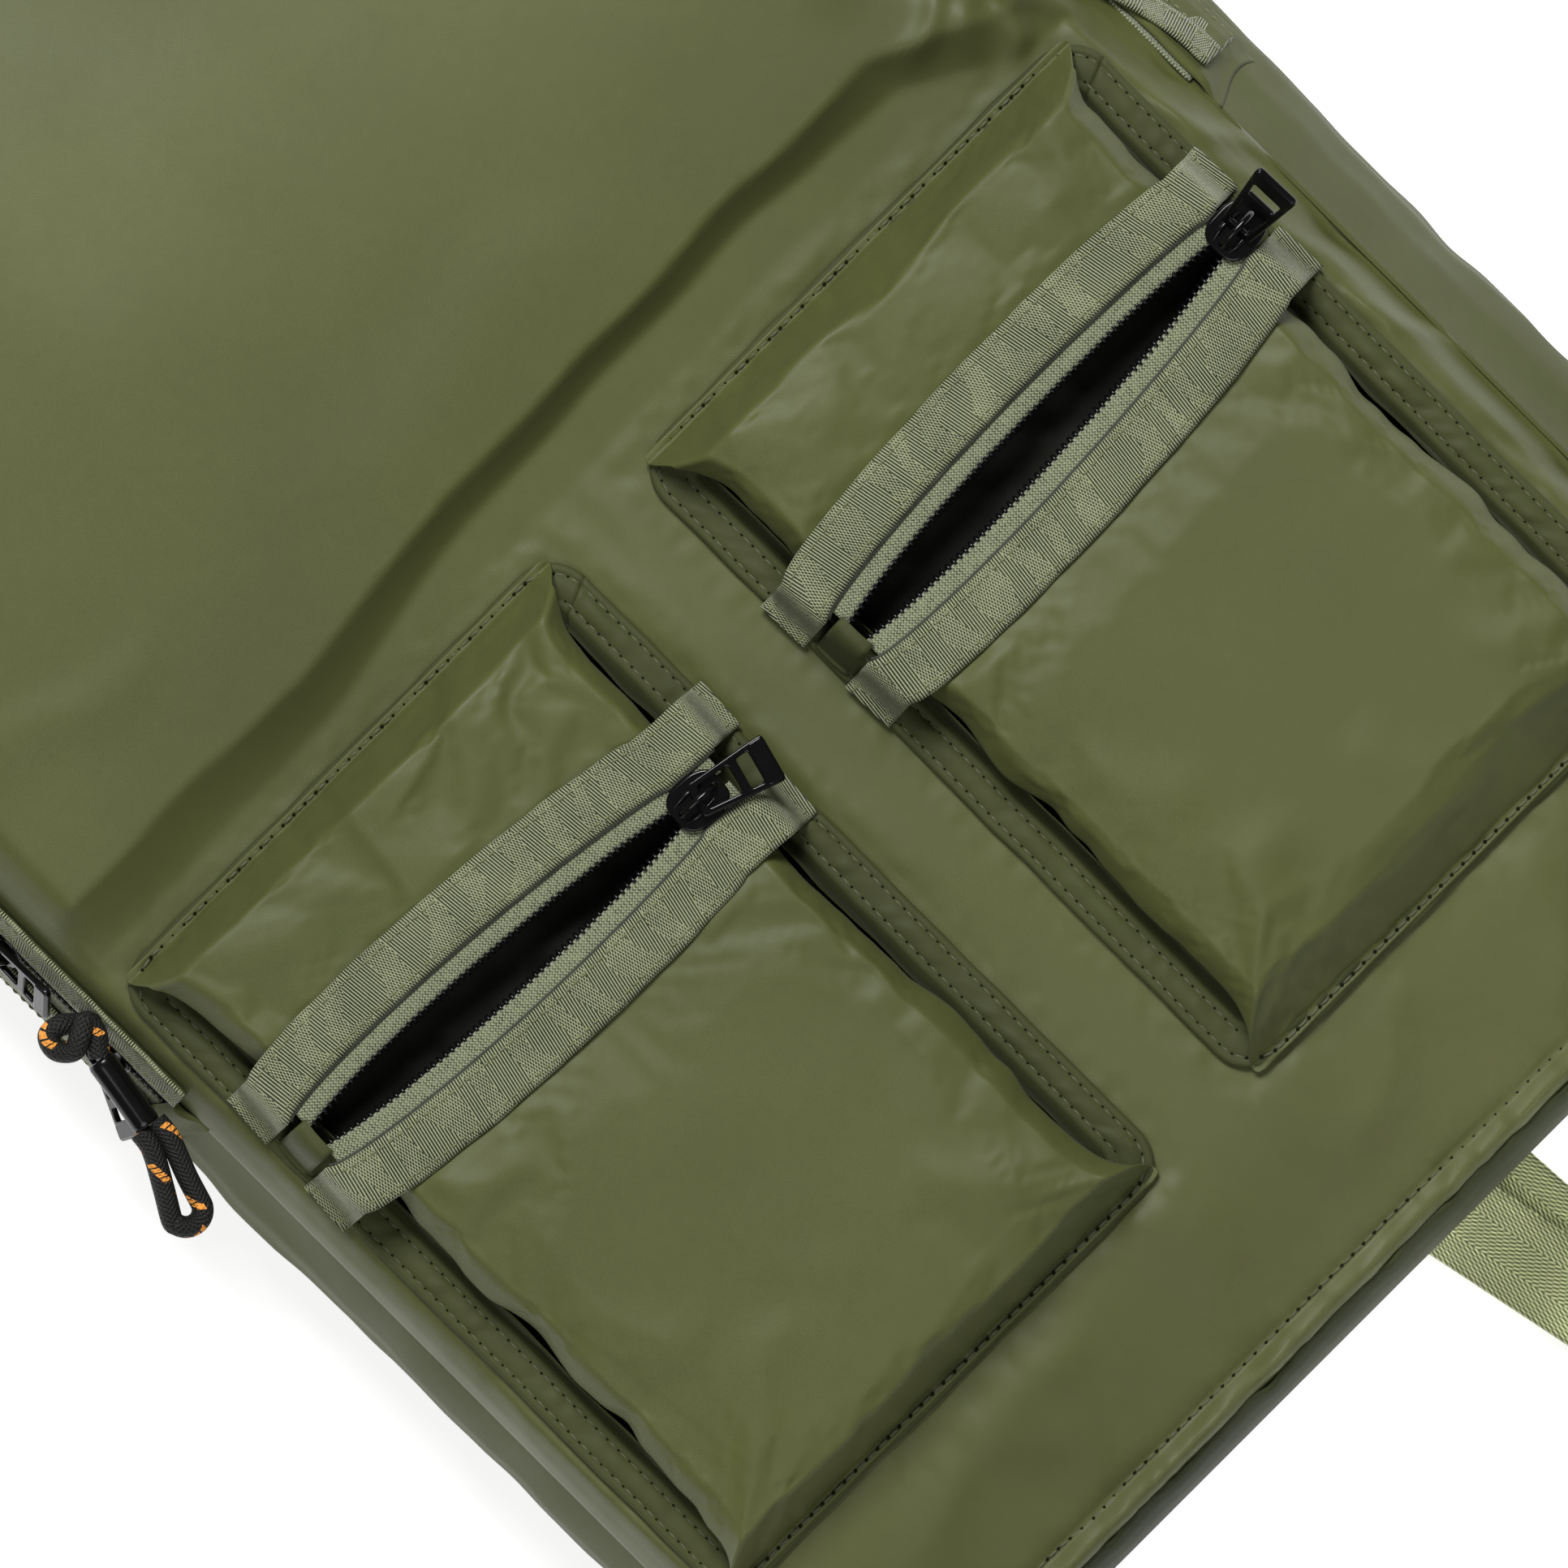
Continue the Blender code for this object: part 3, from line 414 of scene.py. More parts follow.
def settled(points, held, stride, pressure, slack, cap):
    """The sheet after a cloth simulation of a coarser copy: slack, filled from behind, held at seams.

    held is how firmly each point is held, stride the coarser copy's step, and cap the furthest that
    a point may move.
    """
    picks = [np.unique(np.append(np.arange(0, n, stride), n - 1)) for n in points.shape[:2]]
    coarse = points[np.ix_(*picks)]
    shape = coarse.shape[:2]
    faces = quads(np.arange(shape[0] * shape[1]).reshape(shape))
    if np.cross(coarse[0, 1] - coarse[0, 0], coarse[1, 0] - coarse[0, 0])[2] < 0:
        faces = faces[:, ::-1]
    mesh = mesh_of("settling", coarse.reshape(-1, 3), faces)
    obj = bpy.data.objects.new("settling", mesh)
    bpy.context.scene.collection.objects.link(obj)
    group = obj.vertex_groups.new(name="held")
    for k, weight in enumerate(held[np.ix_(*picks)].ravel()):
        if weight > 0.01:
            group.add([k], float(weight), "REPLACE")
    modifier = obj.modifiers.new("cloth", "CLOTH")
    settings = modifier.settings
    settings.quality = 8
    settings.mass = 0.15
    settings.tension_stiffness = settings.compression_stiffness = 25.0
    settings.shear_stiffness = 8.0
    settings.bending_stiffness = 0.02
    settings.use_pressure = True
    settings.uniform_pressure_force = pressure
    settings.shrink_min = -slack
    settings.vertex_group_mass = "held"
    settings.effector_weights.gravity = 0.0
    modifier.collision_settings.use_collision = False
    modifier.point_cache.frame_end = SETTLING_FRAMES
    scene = bpy.context.scene
    for frame_number in range(1, SETTLING_FRAMES + 1):
        scene.frame_set(frame_number)
    rested = obj.evaluated_get(bpy.context.evaluated_depsgraph_get()).data
    after = np.zeros(len(mesh.vertices) * 3)
    rested.vertices.foreach_get("co", after)
    moved = after.reshape(*shape, 3) / MM + ORIGIN - coarse
    bpy.data.objects.remove(obj)
    bpy.data.meshes.remove(mesh)
    scene.frame_set(1)
    far = np.linalg.norm(moved, axis=-1, keepdims=True)
    moved = moved * np.minimum(1.0, cap / np.maximum(far, 1e-6))
    for axis, (n, pick) in enumerate(zip(points.shape[:2], picks)):
        place = np.interp(np.arange(n), pick, np.arange(len(pick)))
        low = np.minimum(place.astype(int), len(pick) - 2)
        share = place - low
        weights = [(-share + 2 * share**2 - share**3) / 2, (2 - 5 * share**2 + 3 * share**3) / 2,
                   (share + 4 * share**2 - 3 * share**3) / 2, (share**3 - share**2) / 2]
        spots = [np.clip(low + k, 0, len(pick) - 1) for k in (-1, 0, 1, 2)]
        widen = (slice(None), None, None) if axis == 0 else (None, slice(None), None)
        moved = sum(np.take(moved, spot, axis=axis) * weight[widen]
                    for spot, weight in zip(spots, weights))
    return points + moved


def beads(name, starts, ends, normals, radii, lifts, look, body="root", sides=6, flat=1.0):
    """Many small tapered rods, such as stitches or teeth, as one piece.

    radii and lifts give each ring's radius and how far it rises along the normal.
    """
    count, rings = len(starts), len(radii)
    t = np.linspace(0.0, 1.0, rings)[None, :, None]
    axis = ends - starts
    axis = axis / np.linalg.norm(axis, axis=1, keepdims=True)
    side = np.cross(axis, normals)
    side = side / np.linalg.norm(side, axis=1, keepdims=True)
    up = np.cross(side, axis)
    centre = starts[:, None] * (1 - t) + ends[:, None] * t
    centre = centre + up[:, None] * np.array(lifts)[None, :, None]
    turn = np.arange(sides) / sides * 2 * math.pi
    radius = np.array(radii)[None, :, None, None]
    around = side[:, None, None] * np.cos(turn)[None, None, :, None]
    around = around + flat * up[:, None, None] * np.sin(turn)[None, None, :, None]
    verts = centre[:, :, None] + around * radius
    block = []
    for r in range(rings - 1):
        for k in range(sides):
            n = (k + 1) % sides
            block.append((r * sides + k, r * sides + n, (r + 1) * sides + n, (r + 1) * sides + k))
    base = np.arange(count)[:, None, None] * rings * sides
    faces = (np.array(block)[None] + base).reshape(-1, 4).tolist()
    caps = []
    for c in range(count):
        first = c * rings * sides
        last = first + (rings - 1) * sides
        caps.append([first + k for k in reversed(range(sides))])
        caps.append([last + k for k in range(sides)])
    mesh = bpy.data.meshes.new(name)
    mesh.from_pydata(world(verts.reshape(-1, 3)).tolist(), [], faces + caps)
    mesh.polygons.foreach_set("use_smooth", np.ones(len(mesh.polygons), bool))
    return finished(name, mesh, look, body)


def stitches(name, path, normals, look, pitch, long, radius):
    """A row of stitches along a path: the thread dips into the cloth between them."""
    path = np.asarray(path, float)
    normals = np.broadcast_to(np.asarray(normals, float), path.shape)
    far = lengths(path)
    centres = np.arange(pitch / 2, far[-1] - long / 2, pitch)
    if look is SEAM_THREAD:
        # the needle's holes: small dark beads of painted shade
        gaps = centres[:-1] + pitch / 2
        beads(f"{name}_holes", between(far, path, gaps - 0.55), between(far, path, gaps + 0.55),
              between(far, normals, gaps), [0.2, 0.5, 0.5, 0.2], [-0.1, 0.0, 0.0, -0.1],
              SHADE_OLIVE)
    radii = [radius * r for r in (0.35, 0.85, 1.0, 0.85, 0.35)]
    lifts = [radius * r for r in (-0.9, 0.1, 0.35, 0.1, -0.9)]
    beads(name, between(far, path, centres - long / 2), between(far, path, centres + long / 2),
          between(far, normals, centres), radii, lifts, look)


BRAID_RADIUS = 2.3  # the radius that the braid is laid out for


def tube(name, path, radius, look, body="root", sides=12):
    """A round cord through points, with its braid laid along and round it."""
    path = np.asarray(path, float)
    tangent = np.gradient(path, axis=0)
    tangent /= np.linalg.norm(tangent, axis=1, keepdims=True)
    normal = np.cross(tangent[0], (0.3, 0.2, 1.0))
    frames = []
    for t in tangent:
        normal = normal - t * (normal @ t)
        normal = normal / np.linalg.norm(normal)
        frames.append((normal, np.cross(t, normal)))
    radius = np.broadcast_to(radius, len(path))
    verts, uv = [], []
    far = lengths(path)
    for p, (n, b), r, s in zip(path, frames, radius, far):
        for k in range(sides + 1):
            a = 2 * math.pi * k / sides
            verts.append(p + (n * math.cos(a) + b * math.sin(a)) * r)
            uv.append((s, 2 * math.pi * BRAID_RADIUS * k / sides))
    grid = np.array(verts).reshape(len(path), sides + 1, 3)
    index = np.arange(len(verts)).reshape(len(path), sides + 1)
    caps = [index[0, ::-1][:-1].tolist(), index[-1, :-1].tolist()]
    mesh = mesh_of(name, grid.reshape(-1, 3), quads(index).tolist() + caps, uv)
    return finished(name, mesh, look, body)


def curve_line(points, count):
    """Points evenly along a smooth curve through a route's own points."""
    points = np.asarray(points, float)
    ends = np.vstack([2 * points[0] - points[1], points, 2 * points[-1] - points[-2]])
    spans = len(points) - 1
    result = []
    for i in range(count):
        t = i / (count - 1) * spans
        k = min(int(t), spans - 1)
        f = t - k
        a, b, c, d = ends[k : k + 4]
        bent = (2 * a - 5 * b + 4 * c - d) * f**2 + (3 * b - a - 3 * c + d) * f**3
        result.append(0.5 * (2 * b + (c - a) * f + bent))
    return np.array(result)


# The sack's outline and wall


def rim(s, inset):
    """A point s along the sack's outline, from the middle of its bottom edge to the right and round."""
    across, up, arc = HALF_WIDTH - CORNER, LENGTH - 2 * CORNER, math.pi / 2 * CORNER
    high = LENGTH - CORNER
    runs = (across, arc, up, arc, 2 * across, arc, up, arc, across)
    starts = {0: (0, 0), 2: (HALF_WIDTH, CORNER), 4: (across, LENGTH),
              6: (-HALF_WIDTH, high), 8: (-across, 0)}
    centres = {1: (across, CORNER), 3: (across, high),
               5: (-across, high), 7: (-across, CORNER)}
    for i, run in enumerate(runs):
        if s <= run or i == len(runs) - 1:
            break
        s -= run
    if i in centres:
        a = math.radians(90 * (i // 2)) + s / CORNER
        reach = CORNER - inset
        return centres[i][0] + math.sin(a) * reach, centres[i][1] - math.cos(a) * reach
    a = math.radians(90 * ((i + 1) // 2))
    x, y = starts[i]
    return x + math.cos(a) * s - math.sin(a) * inset, y + math.sin(a) * s + math.cos(a) * inset


# distances along the outline, where its parts and the long zip start and end
ARC = math.pi / 2 * CORNER
SIDE_LONG = LENGTH - 2 * CORNER
RIGHT_START = HALF_WIDTH - CORNER + ARC
LEFT_START = RIGHT_START + SIDE_LONG + 2 * ARC + 2 * (HALF_WIDTH - CORNER)
ROUND = LEFT_START + SIDE_LONG + ARC + HALF_WIDTH - CORNER
ZIP_RIGHT_Y, ZIP_LEFT_Y = 264.0, 262.0
ZIP_START = RIGHT_START + ZIP_RIGHT_Y - CORNER
ZIP_FINISH = LEFT_START + LENGTH - CORNER - ZIP_LEFT_Y
# the wall's section, inset and height, and the long zip's line on it
WALL = np.array([(10.0, 11.2), (4.0, 21.0), (1.0, 33.0), (1.2, 46.0), (5.5, 61.0),
                 (19.5, 89.0), (21.0, 95.0)])
CENTRE = (WALL[4] + WALL[5]) / 2
SHOULDER = float(np.linalg.norm(WALL[5] - WALL[4]))


def profile(d, out=0.0):
    """Inset and height at d along the wall from the long zip's line, positive towards the front."""
    route = [CENTRE, *WALL[5:]] if d >= 0 else [CENTRE, *WALL[4::-1]]
    left = abs(d)
    for k, (a, b) in enumerate(zip(route, route[1:])):
        span = np.linalg.norm(b - a)
        if left <= span or k == len(route) - 2:
            break
        left -= span
    along = (b - a) / span
    forward = along if d >= 0 else -along
    return a + along * left + np.array([-forward[1], forward[0]]) * out


def shell(s, d, out=0.0):
    """A point of the wall: s along the outline, d from the long zip's line, and out from it."""
    inset, z = profile(d, out)
    x, y = rim(s % ROUND, inset)
    return np.array([x + lean(z), y, z])


def bottomness(s):
    """1 along the bottom edge, 0 along the sides."""
    s = np.minimum(s % ROUND, ROUND - s % ROUND)
    return 1 - ramp((s - (HALF_WIDTH - CORNER)) / ARC)


def inset_of(x, y):
    """How far a point of the plan lies inside the outline."""
    return CORNER - outside(np.abs(x) - (HALF_WIDTH - CORNER),
                            np.abs(y - LENGTH / 2) - (LENGTH / 2 - CORNER))


# the front's height by its distance in from the outline, at the sides and at the bottom
SIDE_Z = ([14.0, 16.5, 19.0, 21.0, 23.5, 27.0, 34.0, 46.0],
          [78.5, 83.2, 88.4, 92.3, 95.2, 96.6, 97.0, 97.0])
BOTTOM_Z = ([0.5, 1.6, 3.6, 5.4, 6.4, 8.6, 11.6, 13.4, 14.8, 18.0, 24.0, 34.0, 48.0, 60.0],
            [58.0, 64.0, 72.0, 82.0, 86.2, 88.4, 87.4, 85.6, 87.2, 88.6, 90.2, 92.6, 95.4, 97.0])
FLAT_Z = 96.9  # under the pockets
# the fold above the pockets: its y by x
CREASE = ([-215, -164, -89, -28, 39, 132, 165, 215], [312, 314, 314.5, 322, 321.5, 324.5, 309, 300])
FRONT_FOLDS = (
    # beside and above the right pocket
    (186, 350, 186, 40, 4.5, -4.5), (176, 335, 150, 306, 4.0, 2.2), (160, 332, 182, 372, 5.0, -2.4),
    (176, 300, 192, 262, 3.5, -2.6), (178, 268, 192, 232, 3.0, 2.4), (177, 236, 193, 196, 3.5, -2.8),
    (178, 196, 192, 158, 3.0, 2.2), (178, 146, 192, 106, 3.5, -2.2), (150, 345, 176, 300, 4.0, -2.4),
    (140, 318, 165, 330, 3.5, 2.2), (160, 300, 178, 318, 3.0, 2.0),
    # between the pockets
    (-12, 300, -8, 150, 5.0, 1.3), (-20, 200, -14, 80, 3.6, -0.9), (0, 310, -4, 230, 5.0, 0.9),
    # below the pockets
    (-140, 42, -60, 54, 7.0, 1.8), (20, 30, 60, 55, 7.0, 1.6), (90, 20, 110, 58, 9.0, 1.8),
    (-80, 16, -100, 52, 8.0, 1.5), (-30, 18, -28, 70, 10.0, 1.6), (150, 24, 172, 70, 7.0, 1.6),
    (-168, 52, -150, 24, 7.0, 1.8),
    # left of the left pocket
    (-190, 250, -188, 90, 3.0, 1.5), (-186, 150, -176, 40, 4.0, 1.6),
    # the upper part
    (-60, 352, 60, 345, 16.0, 1.2), (-170, 360, -110, 350, 8.0, 1.4), (130, 350, 178, 372, 9.0, 1.6),
)


def front_z(x, y):
    """The height of the front over the plan, before it leans."""
    e = inset_of(x, y)
    # the bottom's profile gives way to the sides' round the corners
    past = np.maximum(np.abs(x) - HALF_WIDTH + CORNER, 0)
    turned = np.arctan2(past, np.maximum(CORNER - y, 1e-3))
    round_corner = 1 - ramp(turned / (math.pi / 2))
    low = ramp((75 - y) / 50)
    low = low + (np.minimum(low, round_corner) - low) * (1 - ramp((e - 12) / 15))
    z = np.interp(e, *SIDE_Z) * (1 - low) + np.interp(e, *BOTTOM_Z) * low
    # the upper front swells, and drops to the pockets at the crease
    inner = ramp((e - 19) / 16)
    t = y - np.interp(x, *CREASE) - 2.0 * ripple(x / 26, 0.5, 3)
    span = LENGTH - 20 - 320
    wide = np.interp(x, [-170, -120, -40, 40, 110, 165], [12, 11, 5, 3, 5, 11])
    lip = 9.5 * np.clip((t + wide) / (wide + 4), 0, 1) ** 1.3 * (1 - ramp((t - 40) / 150) * 0.6)
    crown = 14.0 * np.sin(math.pi * np.clip(0.06 + 0.94 * t / span, 0, 1)) * (t > -20)
    z = z + inner * (lip + crown * (1 - np.clip(np.abs(x) / 190, 0, 1) ** 2.6))
    # puckers along the bottom seam
    seam = np.exp(-np.abs(e - 13.5) / 9.0) * low
    z = z + seam * (0.9 * ripple(x / 8, e / 30, 5) + 0.5 * ripple(x / 3.6, e / 24, 6))
    edge = hill(e, 7.6, 2.6) * low
    z = z + edge * (1.5 * ripple(x / 6.5, 0.3, 7) + 0.7 * ripple(x / 2.9, 0.6, 14))
    z = z + inner * (0.8 * ripple(x / 60, y / 60, 8) + 0.25 * ripple(x / 22, y / 30, 9))
    above = ramp((y - 330) / 40)
    z = z + inner * above * (1.8 * ripple(x / 85, y / 110, 10))
    # the cloth lies flat under the pockets
    nearest = np.full(z.shape, 99.0)
    for centre in POCKET_X:
        away = outside(np.abs(x - LEAN - centre) - (POCKET_HALF - 1),
                       np.abs(y - POCKET_MIDDLE) - (POCKET_REACH - 1))
        under = 1 - ramp(away / 7)
        z = z * (1 - under) + FLAT_Z * under
        z = z + 0.5 * hill(away, 5, 3.5) * ripple((x + y) / 6, (x - y) / 6, 11)
        below = np.exp(-np.maximum(away, 0) / 9) * ramp((POCKET_LOW - 1 - y) / 3)
        z = z + 0.9 * below * ripple(x / 3.5, y / 40, 17)
        nearest = np.minimum(nearest, away)
    return z + ramp((e - 14) / 5) * ramp((nearest - 0.5) / 4) * folds(x, y, FRONT_FOLDS)


def front_shell():
    """The front cloth, from under the long zip's webbing over the shoulders to the bottom seam."""
    side, end_low, end_high = 15.6, 1.0, LENGTH - 15.6
    reach, straight = HALF_WIDTH - side, HALF_WIDTH - CORNER
    fine = 0.9
    edge = np.cumsum([fine] * 18)
    middle = np.linspace(-reach + edge[-1], reach - edge[-1], 210)
    columns = np.concatenate([-reach + edge - fine, middle, (reach - edge + fine)[::-1]])
    columns = np.unique(columns) / reach
    corner = np.sin(np.linspace(0, math.pi / 2, 44))[::-1]
    low_rows = end_low + (CORNER - end_low) * (1 - corner)
    high_rows = end_high - (CORNER - side) * (1 - corner)
    side_rows = np.linspace(CORNER, LENGTH - CORNER, 330)
    rows = np.unique(np.concatenate([low_rows, side_rows, high_rows]))

    def half(y):
        """Half the cloth's width at y."""
        share = max((CORNER - y) / (CORNER - end_low), (y - LENGTH + CORNER) / (CORNER - side))
        if share <= 0:
            return reach
        return straight + (reach - HALF_WIDTH + CORNER) * math.sqrt(max(0.0, 1 - share**2))

    x = np.array([[u * half(y) for u in columns] for y in rows])
    y = np.broadcast_to(rows[:, None], x.shape)
    z = front_z(x, y)
    uv = np.stack([x, y], -1)
    points = np.stack([x + lean(z), y, z], -1)
    obj = cloth("front_cloth", points, OLIVE, 0.7, uv=uv)
    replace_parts(obj, "front_panel_lower", "front_panel_upper", "front_gusset_left",
                "front_gusset_right", "front_gusset_top")
    # the stitch line of the bottom seam
    a = np.linspace(-HALF_WIDTH + 34, HALF_WIDTH - 34, 240)
    e = 13.5
    round_y = CORNER - np.sqrt(np.maximum(0, (CORNER - e) ** 2 - (np.abs(a) - HALF_WIDTH + CORNER) ** 2))
    path_y = np.where(np.abs(a) > straight, round_y, e)
    path_y = path_y + 0.7 * ripple(a / 16, 0.2, 13)
    path = np.stack([a + lean(90), path_y, front_z(a, path_y) + 0.15], -1)
    stitches("bottom_seam_stitches", path, (0.0, -0.2, 1.0), SEAM_THREAD, 4.1, 3.3, 0.32)


def wall_cloth():
    """The wall from the back's seam to the zip's rear webbing, and to the front where there is no zip."""
    places = np.linspace(0, ROUND, 640)
    columns = np.linspace(0, 1, 34)
    rear = float(lengths(WALL[:5])[-1]) + SHOULDER / 2
    # the section along the bottom: inset and height by the share of the way up
    shares = [0, 0.16, 0.36, 0.5, 0.66, 0.82, 1.0]
    bottom_inset = [9.6, 6.0, 3.6, 2.4, 1.0, 0.6, 3.6]
    bottom_up = [11.2, 20.0, 34.0, 48.0, 62.0, 71.0, 77.5]
    rows = []
    for s in places:
        b = float(bottomness(s))
        in_zip = ramp((s - ZIP_START + 6) / 10) * ramp((ZIP_FINISH + 6 - s) / 10)
        top = 8.5 * (1 - in_zip) - 11.0 * in_zip
        row = []
        for c in columns:
            d = -rear + (top + rear) * c
            inset, z = profile(d)
            if b > 0:
                inset = inset * (1 - b) + np.interp(c, shares, bottom_inset) * b
                z = z * (1 - b) + np.interp(c, shares, bottom_up) * b
            body = math.sin(math.pi * min(1.0, c * 1.02)) ** 0.7
            out = body * (1.5 * ripple(s / 46, z / 26, 21) + 0.7 * ripple(s / 13, z / 34, 22))
            out += body * 1.1 * math.exp(-(((z - 40 - 12 * math.sin(s / 70)) / 6) ** 2))
            x, y = rim(s % ROUND, inset - out * (1 - 0.6 * b))
            row.append((x + lean(z), y, z))
        rows.append(row)
    obj = cloth("wall_cloth", np.array(rows), WALL_OLIVE, 0.6, offset=1.0)
    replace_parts(obj, "rear_gusset_left", "rear_gusset_right", "rear_gusset_top",
                "bottom_gusset", "zip_band_left", "zip_band_right")


def seams_of_wall():
    """The piping round the back, and the binding under the rolled bottom seam, made dark with painted
    shade.
    """
    ring = np.array([[*rim(s % ROUND, 9.0), 11.0] for s in np.linspace(0, ROUND, 300)])
    tube("back_piping", ring, 1.9, GUSSET_OLIVE, sides=8)
    end = HALF_WIDTH - CORNER + ARC * 0.9
    places = np.linspace(-end, end, 440)
    rows = []
    for s in places:
        b = float(bottomness(s))
        edge = 6.4 + 1.1 * ripple(s / 6.5, 0.3, 15) + 0.5 * ripple(s / 2.9, 0.7, 16)
        share = float(ramp((end - abs(s)) / 75))
        row = []
        for c in 0.5 + np.linspace(-0.5, 0.5, 12) * share:
            inset = float(-1.2 + (edge + 1.2) * c) + 2.5 * (1 - share)
            z = float(np.interp(c, [0, 0.25, 0.55, 0.85, 1.0], [66.0, 76.0, 81.6, 84.6, 84.0]))
            x, y = rim(s % ROUND, inset * b + (1 - b) * (10 + inset))
            row.append((x + lean(z), y, z * b + (1 - b) * (z - 6)))
        rows.append(row)
    cloth("bottom_binding", np.array(rows), BINDING_SHADE_OLIVE, 0.6, offset=0.0)


def back_pad():
    """The foam back: rounded edges, sewn channels and the hollow that the sling presses into it."""
    ends = 14 * (1 - np.cos(np.linspace(0, math.pi / 2, 10)))
    rows = np.unique(np.concatenate([10 + ends, np.linspace(24, 576, 130), 590 - ends]))
    edges = np.linspace(0, 0.08, 10)
    columns = np.unique(np.concatenate([np.linspace(-1, 1, 120), -1 + edges, 1 - edges]))
    radius = CORNER - BACK_INSET
    half = HALF_WIDTH - BACK_INSET
    grid = []
    for y in rows:
        near = min(y - BACK_INSET, LENGTH - BACK_INSET - y)
        cut = radius - math.sqrt(max(0.0, radius**2 - (radius - near) ** 2)) if near < radius else 0.0
        grid.append([(u * (half - cut), y) for u in columns])
    plan = np.array(grid)
    x, y = plan[..., 0], plan[..., 1]
    e = inset_of(x, y) - BACK_INSET
    z = 7.0 * np.clip(1 - e / 7, 0, 1) ** 2
    foot_x = STRAP_X - math.tan(math.radians(STRAP_TURN)) * STRAP_FOLD_Y
    strap_x = foot_x / (LENGTH - STRAP_FOLD_Y) * (LENGTH - y)
    groove = 1 - ramp((np.abs(x - strap_x) - 13.2) / 1.6)
    z = np.maximum(z, 2.5 * groove)
    for line in (-120, -60, 60, 120):
        z = np.maximum(z, 1.6 * hill(x, line, 2.2) * ramp((e - 20) / 10))
    points = np.stack([x, y, z], -1)
    obj = cloth("back_pad", points[:, ::-1], GUSSET_OLIVE, 3.4, offset=-1.0)
    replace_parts(obj, "back_panel")


# The long zip


def crossing(s):
    """How far the front webbing has turned over the zip at its right-hand end."""
    return float(1 - ramp((s - ZIP_START - 4) / 48))


CROSSING_LIFT = 2.4  # how far it stands off there


def on_webbing(s, d, out, turned, more=0.0):
    """A point of webbing that turns over the zip by so much at the zip's right-hand end."""
    over = crossing(s)
    return shell(s, d - turned * over, out + CROSSING_LIFT * over * (turned > 0) + more)


def strip(name, places, low, high, out, look, thick, wave=0.0, turned=0.0):
    """A ribbon along the wall between two distances from the long zip's line."""
    columns = np.linspace(low, high, 9)
    rows = [[on_webbing(s, d, out, turned, wave * float(ripple(s / 7, d / 20, 31)))
             for d in columns] for s in places]
    uv = flat_grid(places - places[0], columns - low)
    return cloth(name, np.array(rows), look, thick, uv=uv, offset=0.0)


def row_of_teeth(name, inward, normal, path, node, pitch=2.1):
    """The coil of one side of a zip: a looped tooth at each pitch along its tape's edge."""
    far = lengths(path)
    where = np.arange(pitch, far[-1] - pitch / 2, pitch)
    p, i, n = (between(far, np.broadcast_to(v, path.shape), where) for v in (path, inward, normal))
    i /= np.linalg.norm(i, axis=1, keepdims=True)
    n /= np.linalg.norm(n, axis=1, keepdims=True)
    start = p + i * 1.5 - n * 0.35
    end = p - i * 2.4 - n * 0.75
    obj = beads(name, start, end, n, [0.35, 0.72, 0.80, 0.52, 0.48, 0.3],
                [-0.15, 0.0, 0.1, 0.35, 0.2, -0.3], PLASTIC, flat=1.25)
    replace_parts(obj, node)


def long_zip():
    """The zip over the sack's sides and top: tapes, webbing, teeth, folds, a dark sheet of painted shade
    behind it and end flaps.
    """
    places = np.linspace(ZIP_START, ZIP_FINISH, 520)
    for name, sign in (("rear", -1), ("front", 1)):
        low, high = sorted((sign * SLIT, sign * (SLIT + TAPE_WIDE)))
        tape = strip(f"long_zip_tape_{name}", places, low, high, 0.0, TAPE, 0.9)
        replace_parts(tape, f"main_zip_tape_{name}")
        inner = SLIT + TAPE_SEEN
        outer = inner + TRIM_WIDE if sign < 0 else 19.6
        low, high = sorted((sign * inner, sign * outer))
        turned = 15.0 if sign > 0 else 0.0
        trim = strip(f"long_zip_trim_{name}", places, low, high, 1.9, TRIM,
                     TRIM_THICK, 0.18, turned)
        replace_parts(trim, f"main_zip_trim_{name}")
        path = np.array([shell(s, sign * SLIT) for s in places])
        across = path - np.array([shell(s, sign * (SLIT + 2)) for s in places])
        out = np.array([shell(s, sign * SLIT, 1.0) for s in places]) - path
        row_of_teeth(f"long_zip_teeth_{name}", across, out, path, f"main_zip_coil_{name}")
        for k, d in enumerate((inner + 2.2, outer - 2.2)):
            line = np.array([on_webbing(s, sign * d, 2.55, turned) for s in places])
            above = np.array([shell(s, sign * d - turned * crossing(s), 5.5) for s in places]) - line
            stitches(f"long_zip_trim_stitches_{name}_{k + 1}", line, above, PALE_THREAD,
                     3.0, 2.3, 0.3)
        # the fold that joins the webbing to the cloth beneath it
        beyond = places[places > ZIP_START + 56]
        rows = [[shell(s, sign * (inner + 8.0), out) for out in (-0.4, 0.8, 2.0)] for s in beyond]
        cloth(f"long_zip_fold_{name}", np.array(rows), GUSSET_OLIVE, 0.5, offset=0.0)
    # a dark sheet of painted shade behind the long zip
    strip("long_zip_shade_lining", places, -9.0, 9.0, -5.6, PAINTED_SHADE_LINING, 0.4)
    low, high = -25.0, 8.2
    for side, s, turn, reach in (("right", ZIP_START, 1, 30.0), ("left", ZIP_FINISH, -1, 3.0)):
        rows = []
        for e in np.linspace(-9, reach, 40):
            row = []
            for d in np.linspace(low, high, 36):
                rise = 2.2 * ramp((e + 7) / 7) * (1 - 0.7 * ramp((e - reach + 2.5) / 2.5))
                rise = rise * ramp((high - d) / 1.6 + 0.35)
                out = 0.2 + rise + 0.35 * float(ripple(e / 6, d / 9, 33))
                row.append(shell(s + turn * (e - 2.5 * math.sin(d / 9)), d, out))
            rows.append(row)
        flap = cloth(f"long_zip_end_{side}", np.array(rows), WALL_OLIVE, 0.7, offset=0.0)
        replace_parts(flap, f"main_zip_end_{side}")


# The pockets


